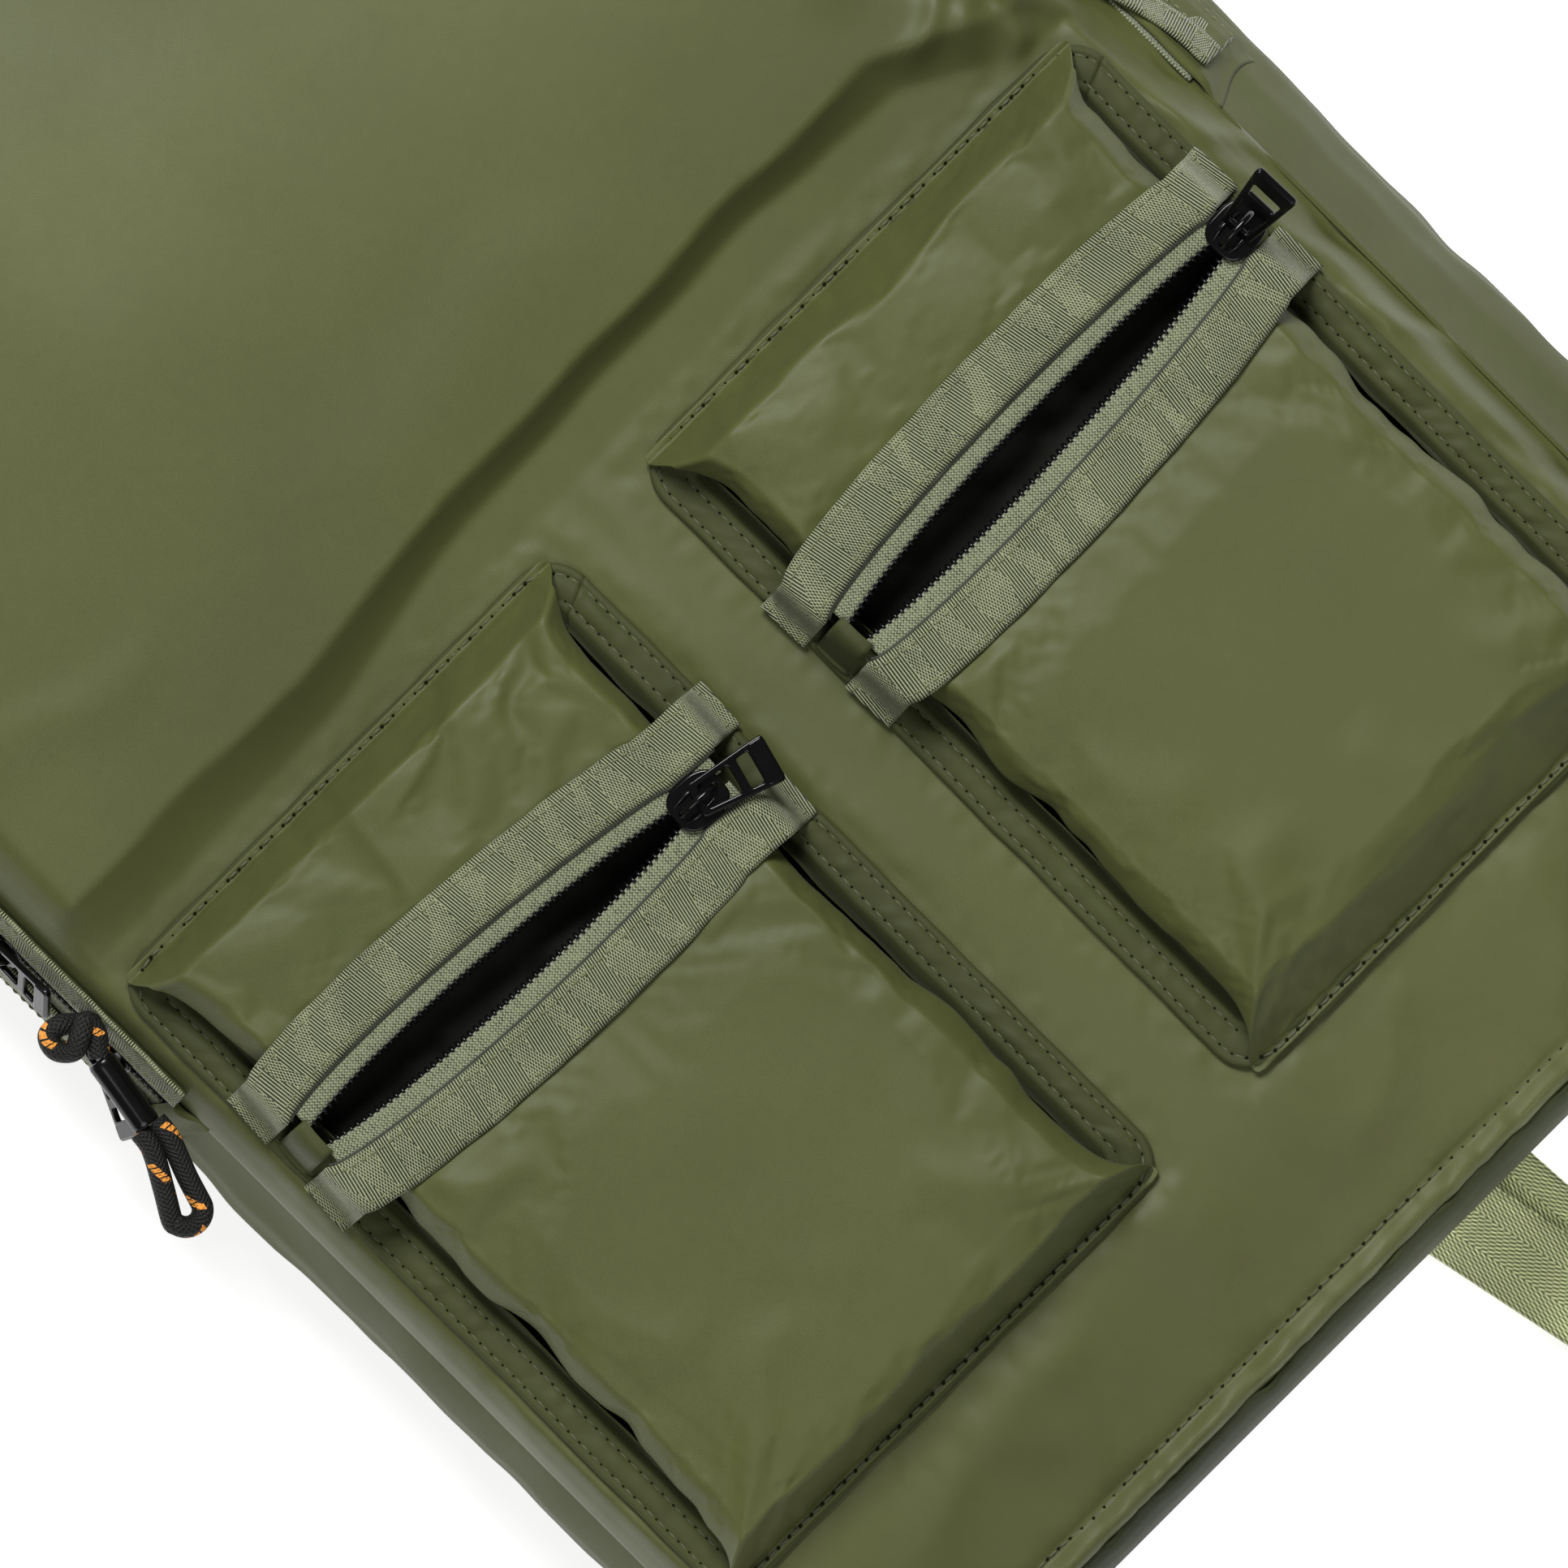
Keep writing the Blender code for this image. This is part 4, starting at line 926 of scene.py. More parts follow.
def mouth(p, slider):
    """Half the width of a pocket's mouth at p along its zip: a lens that closes at the slider."""
    t = np.clip((np.asarray(p, float) - MOUTH_FROM) / (slider - 4.0 - MOUTH_FROM), 0.0, 1.0)
    return SLIT + (MOUTH_HALF - SLIT) * np.sin(math.pi * t**0.8) ** 0.6


def rounded_ring(half_x, half_y, radius, count):
    """Points evenly round a rectangle with round corners, anticlockwise, closed."""
    points = []
    for cx, cy, start in ((1, 1, 0), (-1, 1, 90), (-1, -1, 180), (1, -1, 270)):
        for i in range(13):
            a = math.radians(start + 90 * i / 12)
            points.append((cx * (half_x - radius) + radius * math.cos(a),
                           cy * (half_y - radius) + radius * math.sin(a), 0.0))
    points.append(points[0])
    points = np.array(points)
    far = lengths(points)
    return between(far, points, np.linspace(0, far[-1], count))[:, :2]


# the sections of the flange and of the inner wall: inset, height above the flange's foot, and
# how far the cloth puffs there
FLANGE_SECTION = ((0.0, -0.5, 0), (0.0, 0.5, 0), (0.8, 0.95, 0.3), (1.4, 0.75, 0), (2.0, 0.45, 0),
                  (2.6, 0.75, 0.3), (3.6, 1.2, 1), (5.0, 1.3, 1), (6.4, 1.15, 1), (7.2, 0.75, 0.3),
                  (7.8, 0.45, 0), (8.4, 0.75, 0), (9.2, 0.9, 0.5), (10.0, 0.4, 0), (10.4, -0.2, 0))
INNER_SECTION = ((9.6, 0.1, 0), (10.6, 0.4, 0), (11.8, 1.2, 0), (12.8, 5.0, 0), (13.3, 8.5, 0),
                 (13.5, 10.4, 0))


def gusset(index, side):
    """A pocket's flange, sewn down by two rows of stitches, and the wall that rises from it."""
    centre, seam_z = POCKET_X[index], FLANGE_Z + 0.8
    # the inner wall takes the darker nylon, painted shade where the face overhangs it
    for piece, section, look, swing in (("flange", FLANGE_SECTION, GUSSET_OLIVE, 0.3),
                                        ("inner_wall", INNER_SECTION, SHADED_INNER_OLIVE, 0.9)):
        rows = []
        for inset, up, puffed in section:
            radius = FLANGE_ROUND - min(inset, 10.0) * 0.6
            ring = rounded_ring(POCKET_HALF - inset, POCKET_REACH - inset, radius, 520)
            s = np.arange(len(ring)) / (len(ring) - 1) * 64.0
            lift = ripple(s, inset / 5, 41 + index) + ripple(s * 4, inset / 6, 45 + index)
            height = FLANGE_Z + up + 0.5 * puffed * lift
            scale = 1 - swing * ripple(s, up / 6, 43 + index) / 110
            rows.append(np.stack([centre + ring[:, 0] * scale, POCKET_MIDDLE + ring[:, 1] * scale,
                                  height], -1))
        points = np.array(rows).transpose(1, 0, 2)
        obj = cloth(f"pocket_{side}_{piece}", points, look, 0.5)
        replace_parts(obj, f"pocket_{side}_gusset")
    ring = rounded_ring(POCKET_HALF - 2.0, POCKET_REACH - 2.0, FLANGE_ROUND - 1.2, 400)
    ends = ramp((np.abs(ring[:, 1]) - POCKET_REACH + 7) / 3)
    ends = ends * ramp((POCKET_HALF - 3 - np.abs(ring[:, 0])) / 3)
    outer = np.column_stack([centre + ring[:, 0], POCKET_MIDDLE + ring[:, 1], seam_z + 1.2 * ends])
    y = np.linspace(-POCKET_REACH + 9, POCKET_REACH - 9, 160)
    inner = [np.column_stack([centre + turn * (POCKET_HALF - 7.8) + 0 * y, POCKET_MIDDLE + y,
                              seam_z + 0 * y]) for turn in (-1, 1)]
    for name, path in zip(("outer", "left", "right"), (outer, *inner)):
        stitches(f"pocket_{side}_stitches_{name}", path, UP, SEAM_THREAD, 4.1, 3.3, 0.34)


# soft folds of each face, as folds() takes them
FACE_FOLDS = {
    ("left", "upper"): ((-174, 290, -120, 262, 8, 2.2), (-170, 268, -150, 240, 6, -1.8),
        (-60, 290, -92, 258, 6, 2.4), (-48, 262, -80, 250, 5, 1.8), (-100, 290, -96, 250, 10, 1.2),
        (-140, 285, -130, 245, 8, -1.2), (-44, 283, -66, 268, 4, -1.6)),
    ("left", "lower"): ((-168, 200, -140, 182, 6, 1.8), (-176, 150, -140, 120, 9, 1.4),
        (-40, 206, -66, 196, 5, 2.0), (-36, 180, -60, 130, 8, -1.2), (-160, 90, -120, 110, 7, 1.6),
        (-40, 84, -75, 110, 7, 1.8), (-120, 80, -110, 120, 9, 1.0), (-70, 80, -80, 104, 5, -1.0)),
    ("right", "upper"): ((20, 290, 60, 262, 8, 2.4), (16, 262, 60, 246, 6, 1.6),
        (160, 290, 128, 262, 7, 2.4), (90, 292, 96, 256, 10, 1.2), (34, 250, 24, 240, 5, -1.6),
        (140, 280, 136, 246, 7, -1.4)),
    ("right", "lower"): ((14, 200, 40, 186, 6, 1.8), (168, 204, 140, 190, 6, 1.8),
        (18, 160, 52, 130, 9, 1.4), (166, 150, 140, 120, 9, 1.2), (22, 84, 60, 112, 8, 1.8),
        (160, 84, 128, 108, 7, 1.6), (90, 80, 94, 112, 9, 1.0), (50, 80, 56, 100, 5, -0.9)),
}

# ridges from one point to another, a width, and how far the face drops on their left-hand side
FACE_RIDGES = {
    ("left", "upper"): ((-112, 300, -112, 226, 12, -5.5), (-40, 293, -106, 276, 5, 3.0),
        (-60, 268, -88, 244, 8, 1.6)),
    ("left", "lower"): ((-176, 196, -150, 66, 9, -1.6), (-70, 66, -34, 120, 9, -1.4)),
    ("right", "upper"): ((10, 262, 46, 296, 9, 2.2), (164, 262, 132, 298, 8, -2.0)),
    ("right", "lower"): ((22, 130, 50, 66, 8, -1.8), (150, 66, 166, 128, 9, -1.6)),
}


def drops(x, y, lines):
    """The height of ridges that fall away on one side, and run out beyond it."""
    total = np.zeros(np.broadcast(x, y).shape)
    for *line, width, height in lines:
        along, aside = beside(x, y, *line)
        aside = (aside + 2.0 * np.sin(along * 5.0 + line[0])) * math.copysign(1, height)
        fade = ramp((along + 0.1) / 0.3) * ramp((1.1 - along) / 0.3)
        beyond = np.maximum(0, -aside)
        total = total - abs(height) * fade * (1 - np.exp(-beyond / width)) * np.exp(-beyond / 60)
    return total


def face(index, side, part):
    """Half of a pocket's face: it rises from the stitched end, and its sides overhang the gusset."""
    centre, slider = POCKET_X[index], SLIDER_AT[index]
    tilt = math.tan(math.radians(POCKET_TILT[index]))
    sign = 1 if part == "upper" else -1
    end = POCKET_HIGH - 0.6 if part == "upper" else POCKET_LOW + 0.6
    across, down = 150, 60 if part == "upper" else 120
    # the grid is finer at the sides and at the sewn end
    u = np.sin(np.linspace(-1, 1, across) * math.pi / 2 * 0.86) / math.sin(math.pi / 2 * 0.86)
    sewn = np.linspace(0, 0.25, down // 2, endpoint=False)
    v = np.concatenate([sewn, np.linspace(0.25, 1, down)])
    half = POCKET_HALF - FACE_INSET
    p = u[None, :] * half
    seam = POCKET_ZIP + p * tilt + sign * (mouth(p, slider) + TAPE_WIDE + 0.3)
    y = end + (seam - end) * v[:, None]
    d_end = np.abs(y - end)
    # the sewn end is as wide as the flange, and its corners are pinched where the sides lift away
    corner = 5.0
    bent = corner - np.sqrt(np.maximum(0, corner**2 - (corner - d_end) ** 2))
    cut = np.where(d_end < corner, bent, 0)
    wide = half + 12.2 * np.exp(-(d_end / 9.5) ** 1.4) - cut
    x = u[None, :] * wide
    d_side = wide - np.abs(x)
    seed = 51 + index * 2 + (sign > 0)
    # the hanging edge is scalloped, and turns under
    frill = np.exp(-d_side / 5.0) * ramp((d_end - 6) / 14)
    scallops = 1.9 * ripple(y / 17, np.sign(x) * 3, seed) + 0.5 * ripple(y / 7, np.sign(x) * 5, seed)
    x = x + np.sign(x) * frill * scallops
    hem = np.maximum(0, d_end - 3.0)
    facet = FACET[side, part] * (1 + 0.25 * ripple(x / 30, 0.4, seed + 20))
    rise_end = SEWN_Z + FACE_RISE * hem / facet - 0.5 * hill(d_end, 2.0, 0.8)
    rise_side = FACE_EDGE_Z + 7.0 * ramp((d_side + 1.0) / 7.0) - 2.0 * np.exp(-d_side)
    # the lower of the two, with a rounded edge between them
    blend = 0.7
    least = np.minimum(rise_end, rise_side)
    both = np.exp(-(rise_end - least) / blend) + np.exp(-(rise_side - least) / blend)
    z = least - blend * np.log(both)
    inner = ramp(d_side / 14) * ramp(d_end / 12) * ramp(np.abs(y - seam) / 10)
    bx, by = x + centre, y
    creased = folds(bx, by, FACE_FOLDS[side, part]) * 0.7 + drops(bx, by, FACE_RIDGES[side, part])
    z = z + inner * creased
    clouds = 0.8 * ripple(bx / 48, by / 48, seed + 10) + 0.16 * ripple(bx / 14, by / 18, seed + 11)
    z = z + inner * clouds
    z = z + 0.7 * hill(d_end, 5, 5) * ripple(bx / 4, d_end / 14, seed + 12) * ramp(d_end / 2)
    z = z + 0.6 * hill(d_side, 6, 6) * ripple(by / 6, d_side / 12, seed + 13)
    # it comes down to the zip's tape
    near = 1 - ramp((np.abs(y - seam) - 9) / 8)
    z = z * (1 - near) + np.minimum(z, TAPE_Z - 0.4) * near
    z = z + near * 0.5 * ripple(bx / 9, 0.4, seed + 14) * ramp(np.abs(y - seam) / 3)
    points = np.stack([x + centre, y, z], -1)
    held = np.maximum(1 - ramp((np.abs(y - seam) - 13.5) / 4), 1 - ramp((d_end - 1.5) / 3))
    held = np.maximum(held, 0.95 * (1 - ramp(d_side / 4)))
    points = settled(points, held, 3, 1.5, 0.003, 2.0)
    obj = cloth(f"pocket_{side}_cloth_{part}", points, POCKET_OLIVE, 0.6,
                uv=np.stack([bx, by], -1))
    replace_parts(obj, f"pocket_{side}_face_{part}")


def pocket_frame(index):
    """Takes p along a pocket's zip, q across it and z from its tape to the sack's drawing."""
    a = math.radians(POCKET_TILT[index])
    ca, sa = math.cos(a), math.sin(a)

    def at(p, q, z):
        p, q, z = np.broadcast_arrays(np.asarray(p, float), np.asarray(q, float), np.asarray(z, float))
        return np.stack([POCKET_X[index] + p * ca - q * sa, POCKET_ZIP + p * sa + q * ca, TAPE_Z + z], -1)

    return at


def trim_route():
    """The webbing's run along a pocket's zip, as p and z: its ends turn down over the gusset."""
    fold = np.array([(70, 1.5), (73, 1.2), (75.4, -0.6), (76.8, -4.0), (77.6, -9.0), (78.6, -13.6),
                     (80.2, -16.2), (83.4, -16.9)])
    run = np.linspace(-68, 68, 120)
    route = np.vstack([fold[::-1] * (-1, 1), np.column_stack([run, np.full(len(run), TRIM_LIFT)]), fold])
    return curve_line(np.column_stack([route, np.zeros(len(route))]), 330)


def pocket_zip(index, side):
    """A pocket's zip: its tapes, teeth and webbing, the tab at its end, and a dark sheet of painted shade
    behind it.
    """
    at, slider = pocket_frame(index), SLIDER_AT[index]
    p, q = np.linspace(-71.5, 71.5, 150), np.linspace(0, TAPE_WIDE, 7)
    half = mouth(p, slider)[:, None]
    sag = -0.7 * np.exp(-q / 1.6)[None, :] * (half > SLIT + 0.4)
    sag = sag + 0.25 * ripple(p / 8, 0.5, 61 + index)[:, None]
    route = trim_route()
    pp, zz = route[:, 0], route[:, 1]
    t = np.linspace(0, TRIM_WIDE, 11)
    inner = mouth(pp, slider) + TAPE_SEEN
    wave = 0.22 * ripple(pp / 6.5, 0.3, 63 + index)
    edge_wave = 0.35 * ripple(pp / 11, 0.7, 65 + index)[:, None] * (t / TRIM_WIDE)
    rounding = -0.35 * np.maximum(0, np.abs(t / TRIM_WIDE * 2 - 1) - 0.9) * 10
    slope = np.gradient(np.column_stack([pp, zz]), axis=0)
    up = at(-slope[:, 1], 0, slope[:, 0]) - at(0, 0, 0)
    inside = np.abs(pp) < 74
    for part, sign in (("upper", 1), ("lower", -1)):
        points = at(p[:, None], sign * (half + q[None, :]), sag)
        tape = cloth(f"pocket_{side}_tape_{part}", points, TAPE, 0.8,
                     uv=flat_grid(p + 80, q), offset=0.0)
        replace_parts(tape, f"pocket_{side}_zip_tape_{part}")
        row_of_teeth(f"pocket_{side}_teeth_{part}", at(0, -sign, 0) - at(0, 0, 0), UP,
                     at(p, sign * half[:, 0], -0.5), f"pocket_{side}_zip_coil_{part}")
        points = at(pp[:, None], sign * (inner[:, None] + t[None, :] + edge_wave),
                    (zz + wave)[:, None] + rounding[None, :])
        trim = cloth(f"pocket_{side}_trim_{part}", points, TRIM, TRIM_THICK,
                     uv=flat_grid(lengths(route), t), offset=0.0)
        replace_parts(trim, f"pocket_{side}_zip_trim_{part}")
        line = at(pp[inside], sign * (inner[inside] - 0.35), zz[inside] - 0.5)
        # a thin dark tube along the webbing's inner edge paints its shadow on the tape
        tube(f"pocket_{side}_trim_shadow_{part}", line, 0.5, TRIM_SHADOW_THREAD, sides=6)
        for k, across in enumerate((2.2, TRIM_WIDE - 2.2)):
            line = at(pp, sign * (inner + across), zz + 0.7 + wave)
            stitches(f"pocket_{side}_trim_stitches_{part}_{k + 1}", line, up, PALE_THREAD,
                     2.9, 2.2, 0.3)
    droop = curve_line([(-70.5, 0.9, 0), (-73.5, 0.7, 0), (-76.0, -3.0, 0), (-77.8, -10.0, 0),
                        (-79.5, -15.8, 0), (-81.0, -16.6, 0)], 30)
    q = np.linspace(-5.6, 5.6, 9)
    swell = (1 - (q / 5.6) ** 2) * 0.8
    points = at(droop[:, :1] - swell[None, :] * 0.4, q[None, :], droop[:, 1:2] + swell[None, :] * 0.5)
    tab = cloth(f"pocket_{side}_end_tab", points, GUSSET_OLIVE, 0.8, offset=0.0)
    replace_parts(tab, f"pocket_{side}_zip_end_tab")
    # a near-black sheet seen through the mouth, painting the shade inside the pocket
    x = np.linspace(-70, 70, 60)[None, :]
    y = np.linspace(POCKET_LOW + 12, POCKET_HIGH - 12, 80)[:, None]
    z = 100.0 + 1.6 * ripple(x / 18 + 3, y / 14, 71 + index) + 1.4 * ripple(x / 7, y / 9, 72 + index)
    points = np.stack([x + POCKET_X[index] + 0 * y, y + 0 * x, z], -1)
    cloth(f"pocket_{side}_shade_lining", points, PAINTED_SHADE_LINING, 0.4)


# Sliders and pulls


def solid(outlines, low, high, bevel):
    """A plate with rounded edges, at the origin: its rim, then its windows. Millimetres."""
    curve = bpy.data.curves.new("plate", "CURVE")
    curve.dimensions = "2D"
    curve.fill_mode = "BOTH"
    curve.extrude = (high - low) / 2 - bevel
    curve.bevel_depth = bevel
    curve.bevel_resolution = 2
    curve.offset = -bevel
    for outline in outlines:
        spline = curve.splines.new("POLY")
        spline.points.add(len(outline) - 1)
        for target, (x, y) in zip(spline.points, outline):
            target.co = (x, y, 0.0, 1.0)
        spline.use_cyclic_u = True
    return from_curve(curve, (low + high) / 2)


def rod(points, radius, taper=None):
    """A bent rod through points, at the origin. Millimetres."""
    curve = bpy.data.curves.new("rod", "CURVE")
    curve.dimensions = "3D"
    curve.bevel_depth = radius
    curve.bevel_resolution = 3
    curve.use_fill_caps = True
    spline = curve.splines.new("POLY")
    line = curve_line(points, 6 * len(points))
    spline.points.add(len(line) - 1)
    for k, (target, point) in enumerate(zip(spline.points, line)):
        target.co = (*point, 1.0)
        if taper is not None:
            target.radius = float(np.interp(k / (len(line) - 1), *taper))
    return from_curve(curve, 0.0)


def from_curve(curve, lift):
    """A curve's mesh, lifted."""
    obj = bpy.data.objects.new("part", curve)
    bpy.context.scene.collection.objects.link(obj)
    bpy.context.view_layer.update()
    shown = obj.evaluated_get(bpy.context.evaluated_depsgraph_get())
    mesh = bpy.data.meshes.new_from_object(shown)
    mesh.transform(Matrix.Translation((0, 0, lift)))
    bpy.data.objects.remove(obj)
    return mesh


def joined(name, meshes, matrix, look, body):
    """Several meshes in millimetres made one piece at a place."""
    objects = []
    for mesh in meshes:
        obj = bpy.data.objects.new(name, mesh)
        bpy.context.scene.collection.objects.link(obj)
        objects.append(obj)
    obj = objects[0]
    with bpy.context.temp_override(active_object=obj, object=obj, selected_objects=objects,
                                   selected_editable_objects=objects):
        bpy.ops.object.join()
    obj.data.materials.clear()
    obj.data.materials.append(look)
    obj.data.transform(Matrix.Scale(MM, 4))
    obj.data.transform(matrix)
    for polygon in obj.data.polygons:
        polygon.use_smooth = True
    obj.data.set_sharp_from_angle(angle=math.radians(40))
    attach(obj, body)
    return obj


def smooth_outline(points, radius, steps=4):
    """A polygon whose corners are rounded."""
    result = []
    points = [np.array(p, float) for p in points]
    for k, here in enumerate(points):
        ends = []
        for other in (points[k - 1], points[(k + 1) % len(points)]):
            long = np.linalg.norm(other - here)
            ends.append(here + (other - here) / long * min(radius, long / 2.2))
        a, b = ends
        for i in range(steps + 1):
            t = i / steps
            result.append(tuple((1 - t) ** 2 * a + 2 * t * (1 - t) * here + t**2 * b))
    return result


def slider(name, matrix, body, node):
    """Two shaped plates on a post, with rolled side walls and a crown over the pull's hinge."""
    outline = smooth_outline([(8, -4.4), (8, 4.4), (3.5, 6.7), (-5.0, 6.7), (-8, 4.0), (-8, -4.0),
                              (-5.0, -6.7), (3.5, -6.7)], 2.4)
    top = solid([outline], 0.9, 2.5, 0.55)
    low = solid([outline], -4.4, -2.9, 0.5)
    neck = smooth_outline([(-7.2, -1.1), (-3.0, -1.1), (-3.0, 1.1), (-7.2, 1.1)], 0.5)
    post = solid([neck], -3.4, 1.4, 0.2)
    crown = rod([(-5.6, 0, 2.0), (-5.0, 0, 4.4), (-3.2, 0, 6.1), (0, 0, 6.7), (3.2, 0, 6.1),
                 (5.0, 0, 4.4), (5.6, 0, 2.0)], 1.0,
                taper=([0, 0.25, 0.5, 0.75, 1], [1.15, 0.9, 0.85, 0.9, 1.15]))
    parts = [top, low, post, crown]
    for side in (-1, 1):
        roll = [(-4.5, side * 6.0, 1.4), (0, side * 6.25, 1.5), (4.0, side * 5.8, 1.4)]
        parts.append(rod(roll, 0.8, taper=([0, 0.2, 0.8, 1], [0.4, 1.0, 1.0, 0.4])))
        ridge = [(-6.2, side * 2.6, 2.4), (-2.0, side * 3.2, 2.9), (3.6, side * 2.4, 2.6)]
        parts.append(rod(ridge, 0.7, taper=([0, 0.3, 0.7, 1], [0.3, 1.0, 1.0, 0.3])))
    obj = joined(name, parts, matrix, ENAMEL, body)
    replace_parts(obj, node)


def pull(name, matrix, body, node):
    """A tapered ladder with two windows and a thick end, hinged on a round bar."""
    outline = smooth_outline([(-0.9, -4.9), (22.2, -6.9), (23.0, -6.2), (23.0, 6.2), (22.2, 6.9),
                              (-0.9, 4.9)], 1.3)
    first = smooth_outline([(1.4, -3.3), (11.2, -4.1), (11.2, 4.1), (1.4, 3.3)], 1.0)[::-1]
    second = smooth_outline([(13.8, -4.4), (17.6, -4.7), (17.6, 4.7), (13.8, 4.4)], 0.8)[::-1]
    parts = [solid([outline, first, second], -0.85, 0.85, 0.4)]
    parts.append(rod([(-0.2, -4.2, 0), (-0.2, 0, 0), (-0.2, 4.2, 0)], 0.85))
    end = smooth_outline([(18.0, -6.2), (22.6, -6.5), (22.6, 6.5), (18.0, 6.2)], 1.0)
    parts.append(solid([end], -1.15, 1.15, 0.45))
    obj = joined(name, parts, matrix, ENAMEL, body)
    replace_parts(obj, node)


def hinge_turn(yaw, pitch):
    """A pull's place on its slider, turned by degrees."""
    lift = Matrix.Translation(Vector((0, 0, HINGE_UP)) * MM)
    yawed = lift @ Matrix.Rotation(math.radians(yaw), 4, "Z")
    return yawed @ Matrix.Rotation(math.radians(-pitch), 4, "Y")


def sliders():
    """Every slider and pull at its place: two on the pockets, two on the long zip."""
    for index, side in enumerate(("left", "right")):
        spot = Vector(world([POCKET_X[index], POCKET_ZIP, TAPE_Z]))
        home = Matrix.Translation(spot) @ Matrix.Rotation(math.radians(POCKET_TILT[index]), 4, "Z")
        home = home @ Matrix.Translation(Vector((SLIDER_AT[index], 0, 0)) * MM)
        slider(f"slider_{side}", home, f"{side}_slider", f"pocket_{side}_slider")
        turn = hinge_turn(PULL_YAW[index], PULL_PITCH[index])
        pull(f"pull_{side}", home @ turn, f"{side}_pull", f"pocket_{side}_pull")
    for name, (y, turned, yaw, pitch) in (("upper", UPPER_SLIDER), ("lower", LOWER_SLIDER)):
        s = LEFT_START + LENGTH - CORNER - y
        origin = Vector(world(shell(s, 0.0)))
        out = (Vector(world(shell(s, 0.0, 1.0))) - origin).normalized()
        along = Vector((0, turned, 0))
        turn = Matrix((along, out.cross(along), out)).transposed().to_4x4()
        home = Matrix.Translation(origin) @ turn
        slider(f"slider_{name}", home, f"{name}_slider", f"main_slider_{name}")
        pull(f"pull_{name}", home @ hinge_turn(yaw, pitch), f"{name}_pull", f"main_pull_{name}")


# The pull cord, the sling and the haul loop

CORD = 6.0
BIGHT_ROUND = 4.5  # the radius of the bight's fold
SLEEVE = np.array([(-203.5, 284.5, 90.0), (-207.0, 263.5, 88.5)])
LOOP_END = np.array([-216.5, 237.0, 84.0])


def pull_cord():
    """The cord on the upper pull: a hitch, a barrel and a bight."""
    top, low = SLEEVE
    along = (low - top) / np.linalg.norm(low - top)
    aside = np.cross(along, (0, 0, 1))
    aside /= np.linalg.norm(aside)
    leave = low + along * 0.3
    mid = leave + (LOOP_END - leave) * 0.6
    bend = [LOOP_END - along * 3.6 + (aside * math.cos(a) + along * math.sin(a)) * BIGHT_ROUND
            for a in np.linspace(0, math.pi, 9)]
    route = [leave + aside * 2.6, leave + aside * 2.8 + along * 6, mid + aside * 3.6, *bend,
             mid - aside * 3.6, leave - aside * 2.8 + along * 6, leave - aside * 2.6]
    line = curve_line(route, 70)
    loop = tube("pull_cord_bight", line, CORD / 2 - 0.05, CORD_BLACK, "upper_pull", 20)
    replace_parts(loop, "pull_cord_loop")
    # the sleeve: a moulded barrel with rounded ends and a slight waist
    t = np.linspace(0, 1, 40)
    radius = 4.0 - 0.35 * hill(t, 0.0, 0.03) - 0.35 * hill(t, 1.0, 0.03) - 0.12 * np.sin(math.pi * t)
    barrel = tube("pull_cord_barrel", top + (low - top) * t[:, None], radius, PLASTIC,
                  "upper_pull", 24)
    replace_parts(barrel, "pull_cord_sleeve")
    # the hitch on the pull's end and the knot above the sleeve
    hitch = curve_line([(-200.6, 295.0, 86.4), (-204.6, 298.4, 90.2), (-208.6, 298.6, 91.0),
                        (-209.8, 294.6, 91.2), (-206.6, 291.2, 92.2), (-202.4, 292.6, 93.6),
                        (-198.8, 294.2, 92.4), (-199.2, 290.4, 90.8), (-201.6, 287.2, 90.4),
                        (-203.2, 285.0, 90.2)], 90)
    knot = tube("pull_cord_hitch", hitch, CORD / 2, CORD_BLACK, "upper_pull", 16)
    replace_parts(knot, "pull_cord_knot")
    far = float(lengths(line)[-1]) * MM


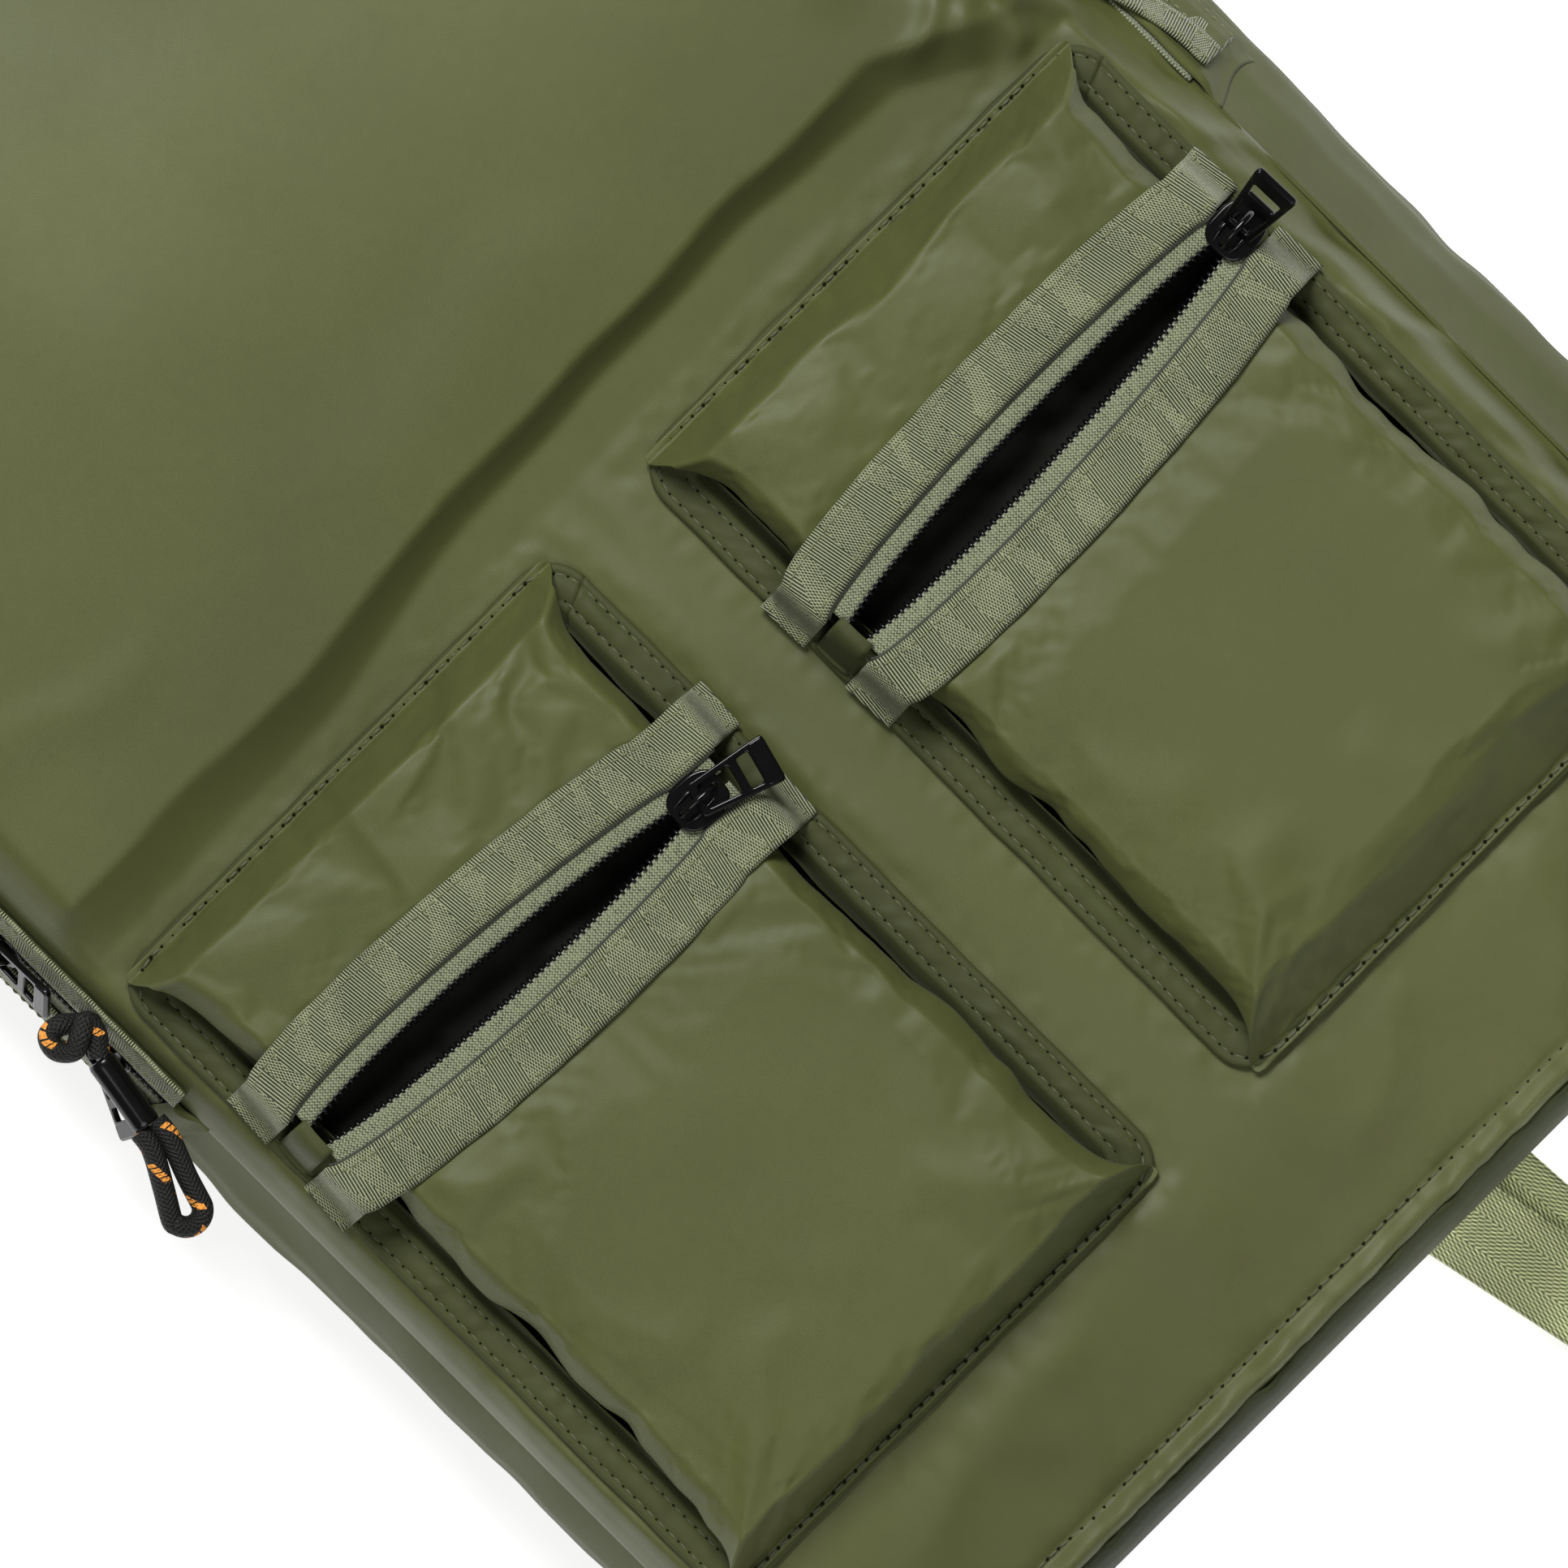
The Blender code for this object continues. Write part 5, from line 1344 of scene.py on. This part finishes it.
def sling():
    """The sling: out past the bottom edge, folded, and back under the sack to its top; and its adjuster."""
    slope = math.tan(math.radians(STRAP_TURN))
    fold_x = STRAP_X - slope * STRAP_FOLD_Y
    back_slope = fold_x / (LENGTH - STRAP_FOLD_Y)
    # y and height along its parts
    outgoing = ((5.0, 12.5), (0.5, 11.0), (-7.0, 8.2), (-18.0, 6.2), (-30.0, 5.7), (-60.0, 5.7),
                (-88.0, 5.7))
    fold = ((-96.0, 6.3), (-101.5, 5.7), (-103.4, 3.5), (-101.5, 1.3), (-95.0, 0.95))
    under = tuple((y, 0.95) for y in (-60.0, 8.0, 150.0, 300.0, 450.0, 588.0))
    top = ((591.6, 2.0), (593.8, 5.4), (595.2, 11.0), (599.0, 19.0))
    middle = []
    for y, z in outgoing:
        middle.append((STRAP_X - slope * y, y, z, math.atan(slope)))
    for i, (y, z) in enumerate(fold):
        t = (i + 1) / len(fold)
        x = (STRAP_X - slope * y) * (1 - t) + back_slope * (LENGTH - y) * t
        middle.append((x, y, z, math.atan(slope) * (1 - t) + math.atan(back_slope) * t))
    for y, z in under + top:
        middle.append((back_slope * (LENGTH - y), y, z, math.atan(back_slope)))
    middle = np.array(middle)
    far = lengths(middle[:, :3])
    fine = np.unique(np.concatenate([far, np.linspace(0, far[-1], 240)]))
    line = np.stack([np.interp(fine, far, middle[:, k]) for k in range(4)], -1)
    t = np.linspace(-0.5, 0.5, 9)
    points = np.stack([
        line[:, :1] + np.cos(line[:, 3:]) * STRAP_WIDE * t,
        line[:, 1:2] + np.sin(line[:, 3:]) * STRAP_WIDE * t,
        line[:, 2:3] + 0 * t,
    ], -1)
    strap = cloth("sling_strap", points, STRAP, STRAP_THICK,
                  uv=flat_grid(fine, (t + 0.5) * STRAP_WIDE), offset=0.0)
    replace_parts(strap, "sling_webbing")
    # the adjuster keeps its CAD shape, with its edges softened
    adjuster = frame["nodes"]["sling_adjuster"]
    adjuster.data.materials.clear()
    adjuster.data.materials.append(PLASTIC)
    weld = adjuster.modifiers.new("weld", "WELD")
    weld.merge_threshold = 0.00001
    bevel = adjuster.modifiers.new("bevel", "BEVEL")
    bevel.width = 0.0005
    bevel.segments = 3


def haul_loop():
    """A loop of webbing at the top edge."""
    half, out_to, low, high = 42.0, 627.0, 4.0, 24.0
    foot = LENGTH + 1.4
    plan = [(-half - 10, foot), (-half, foot), (-half + 3, foot + 4), (-half + 10, out_to - 9),
            (-half + 20, out_to - 2), (-10, out_to)]
    plan += [(-x, y) for x, y in reversed(plan)]
    line = curve_line([(x, y, 0) for x, y in plan], 120)
    t = np.linspace(0, 1, 9)
    points = np.stack([line[:, :1] + 0 * t, line[:, 1:2] + 0 * t,
                       low + (high - low) * t + 0 * line[:, :1]], -1)
    uv = flat_grid(lengths(line), t * (high - low))
    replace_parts(cloth("haul_webbing", points, TRIM, 1.6, uv=uv, offset=0.0), "haul_loop")


# The setting


SEEN_WIDE = 411.06  # how much the view takes in at the pockets' height


def setting():
    """The camera, the floor, the sky and three lights."""
    scene = bpy.context.scene
    scene.view_settings.view_transform = "Standard"
    camera = bpy.data.objects.new("camera", bpy.data.cameras.new("camera"))
    scene.collection.objects.link(camera)
    camera.data.lens, camera.data.sensor_width = 300.0, 36.0
    aim = Vector(world([-24.2, 208.3, TAPE_Z]))
    away = SEEN_WIDE * MM * camera.data.lens / camera.data.sensor_width
    camera.location = aim + Vector((0, 0, away))
    camera.rotation_euler = (0, 0, math.radians(-45))
    camera.data.clip_end = 20
    scene.camera = camera

    floor = bpy.data.objects.new("floor", bpy.data.meshes.new("floor"))
    corners = [(-6, -6, 0), (6, -6, 0), (6, 6, 0), (-6, 6, 0)]
    floor.data.from_pydata(corners, [], [(0, 1, 2, 3)])
    scene.collection.objects.link(floor)
    t = Tree("pale_floor")
    pale = t.finish((0.85, 0.85, 0.85), Roughness=0.9, Specular_IOR_Level=0.1,
                    Emission_Color=(1.0, 1.0, 1.0, 1.0), Emission_Strength=0.62)
    floor.data.materials.append(pale)

    sky = bpy.data.worlds.new("studio")
    scene.world = sky
    sky.use_nodes = True
    background = sky.node_tree.nodes["Background"]
    background.inputs["Color"].default_value = (1, 1, 1, 1)
    background.inputs["Strength"].default_value = 0.13
    for name, at, size, power, spread, aim in (
        ("key", (0.62, 1.1, 2.0), 0.9, 60.0, 180, (0, 0, 0.05)),
        ("fill", (-1.0, -1.0, 2.2), 1.5, 19.0, 180, (0, 0, 0.05)),
        ("low", (0.45, -1.25, 0.85), 0.25, 0.11, 10, (0.04, -0.34, 0.0)),
    ):
        data = bpy.data.lights.new(name, "AREA")
        data.shape, data.size, data.energy, data.spread = "SQUARE", size, power, math.radians(spread)
        lamp = bpy.data.objects.new(name, data)
        scene.collection.objects.link(lamp)
        lamp.location = at
        lamp.rotation_euler = (Vector(aim) - Vector(at)).to_track_quat("-Z", "Y").to_euler()


setting()
pull_cord()
front_shell()
wall_cloth()
seams_of_wall()
back_pad()
long_zip()
for which, pocket_side in enumerate(("left", "right")):
    gusset(which, pocket_side)
    face(which, pocket_side, "upper")
    face(which, pocket_side, "lower")
    pocket_zip(which, pocket_side)
sliders()
sling()
haul_loop()
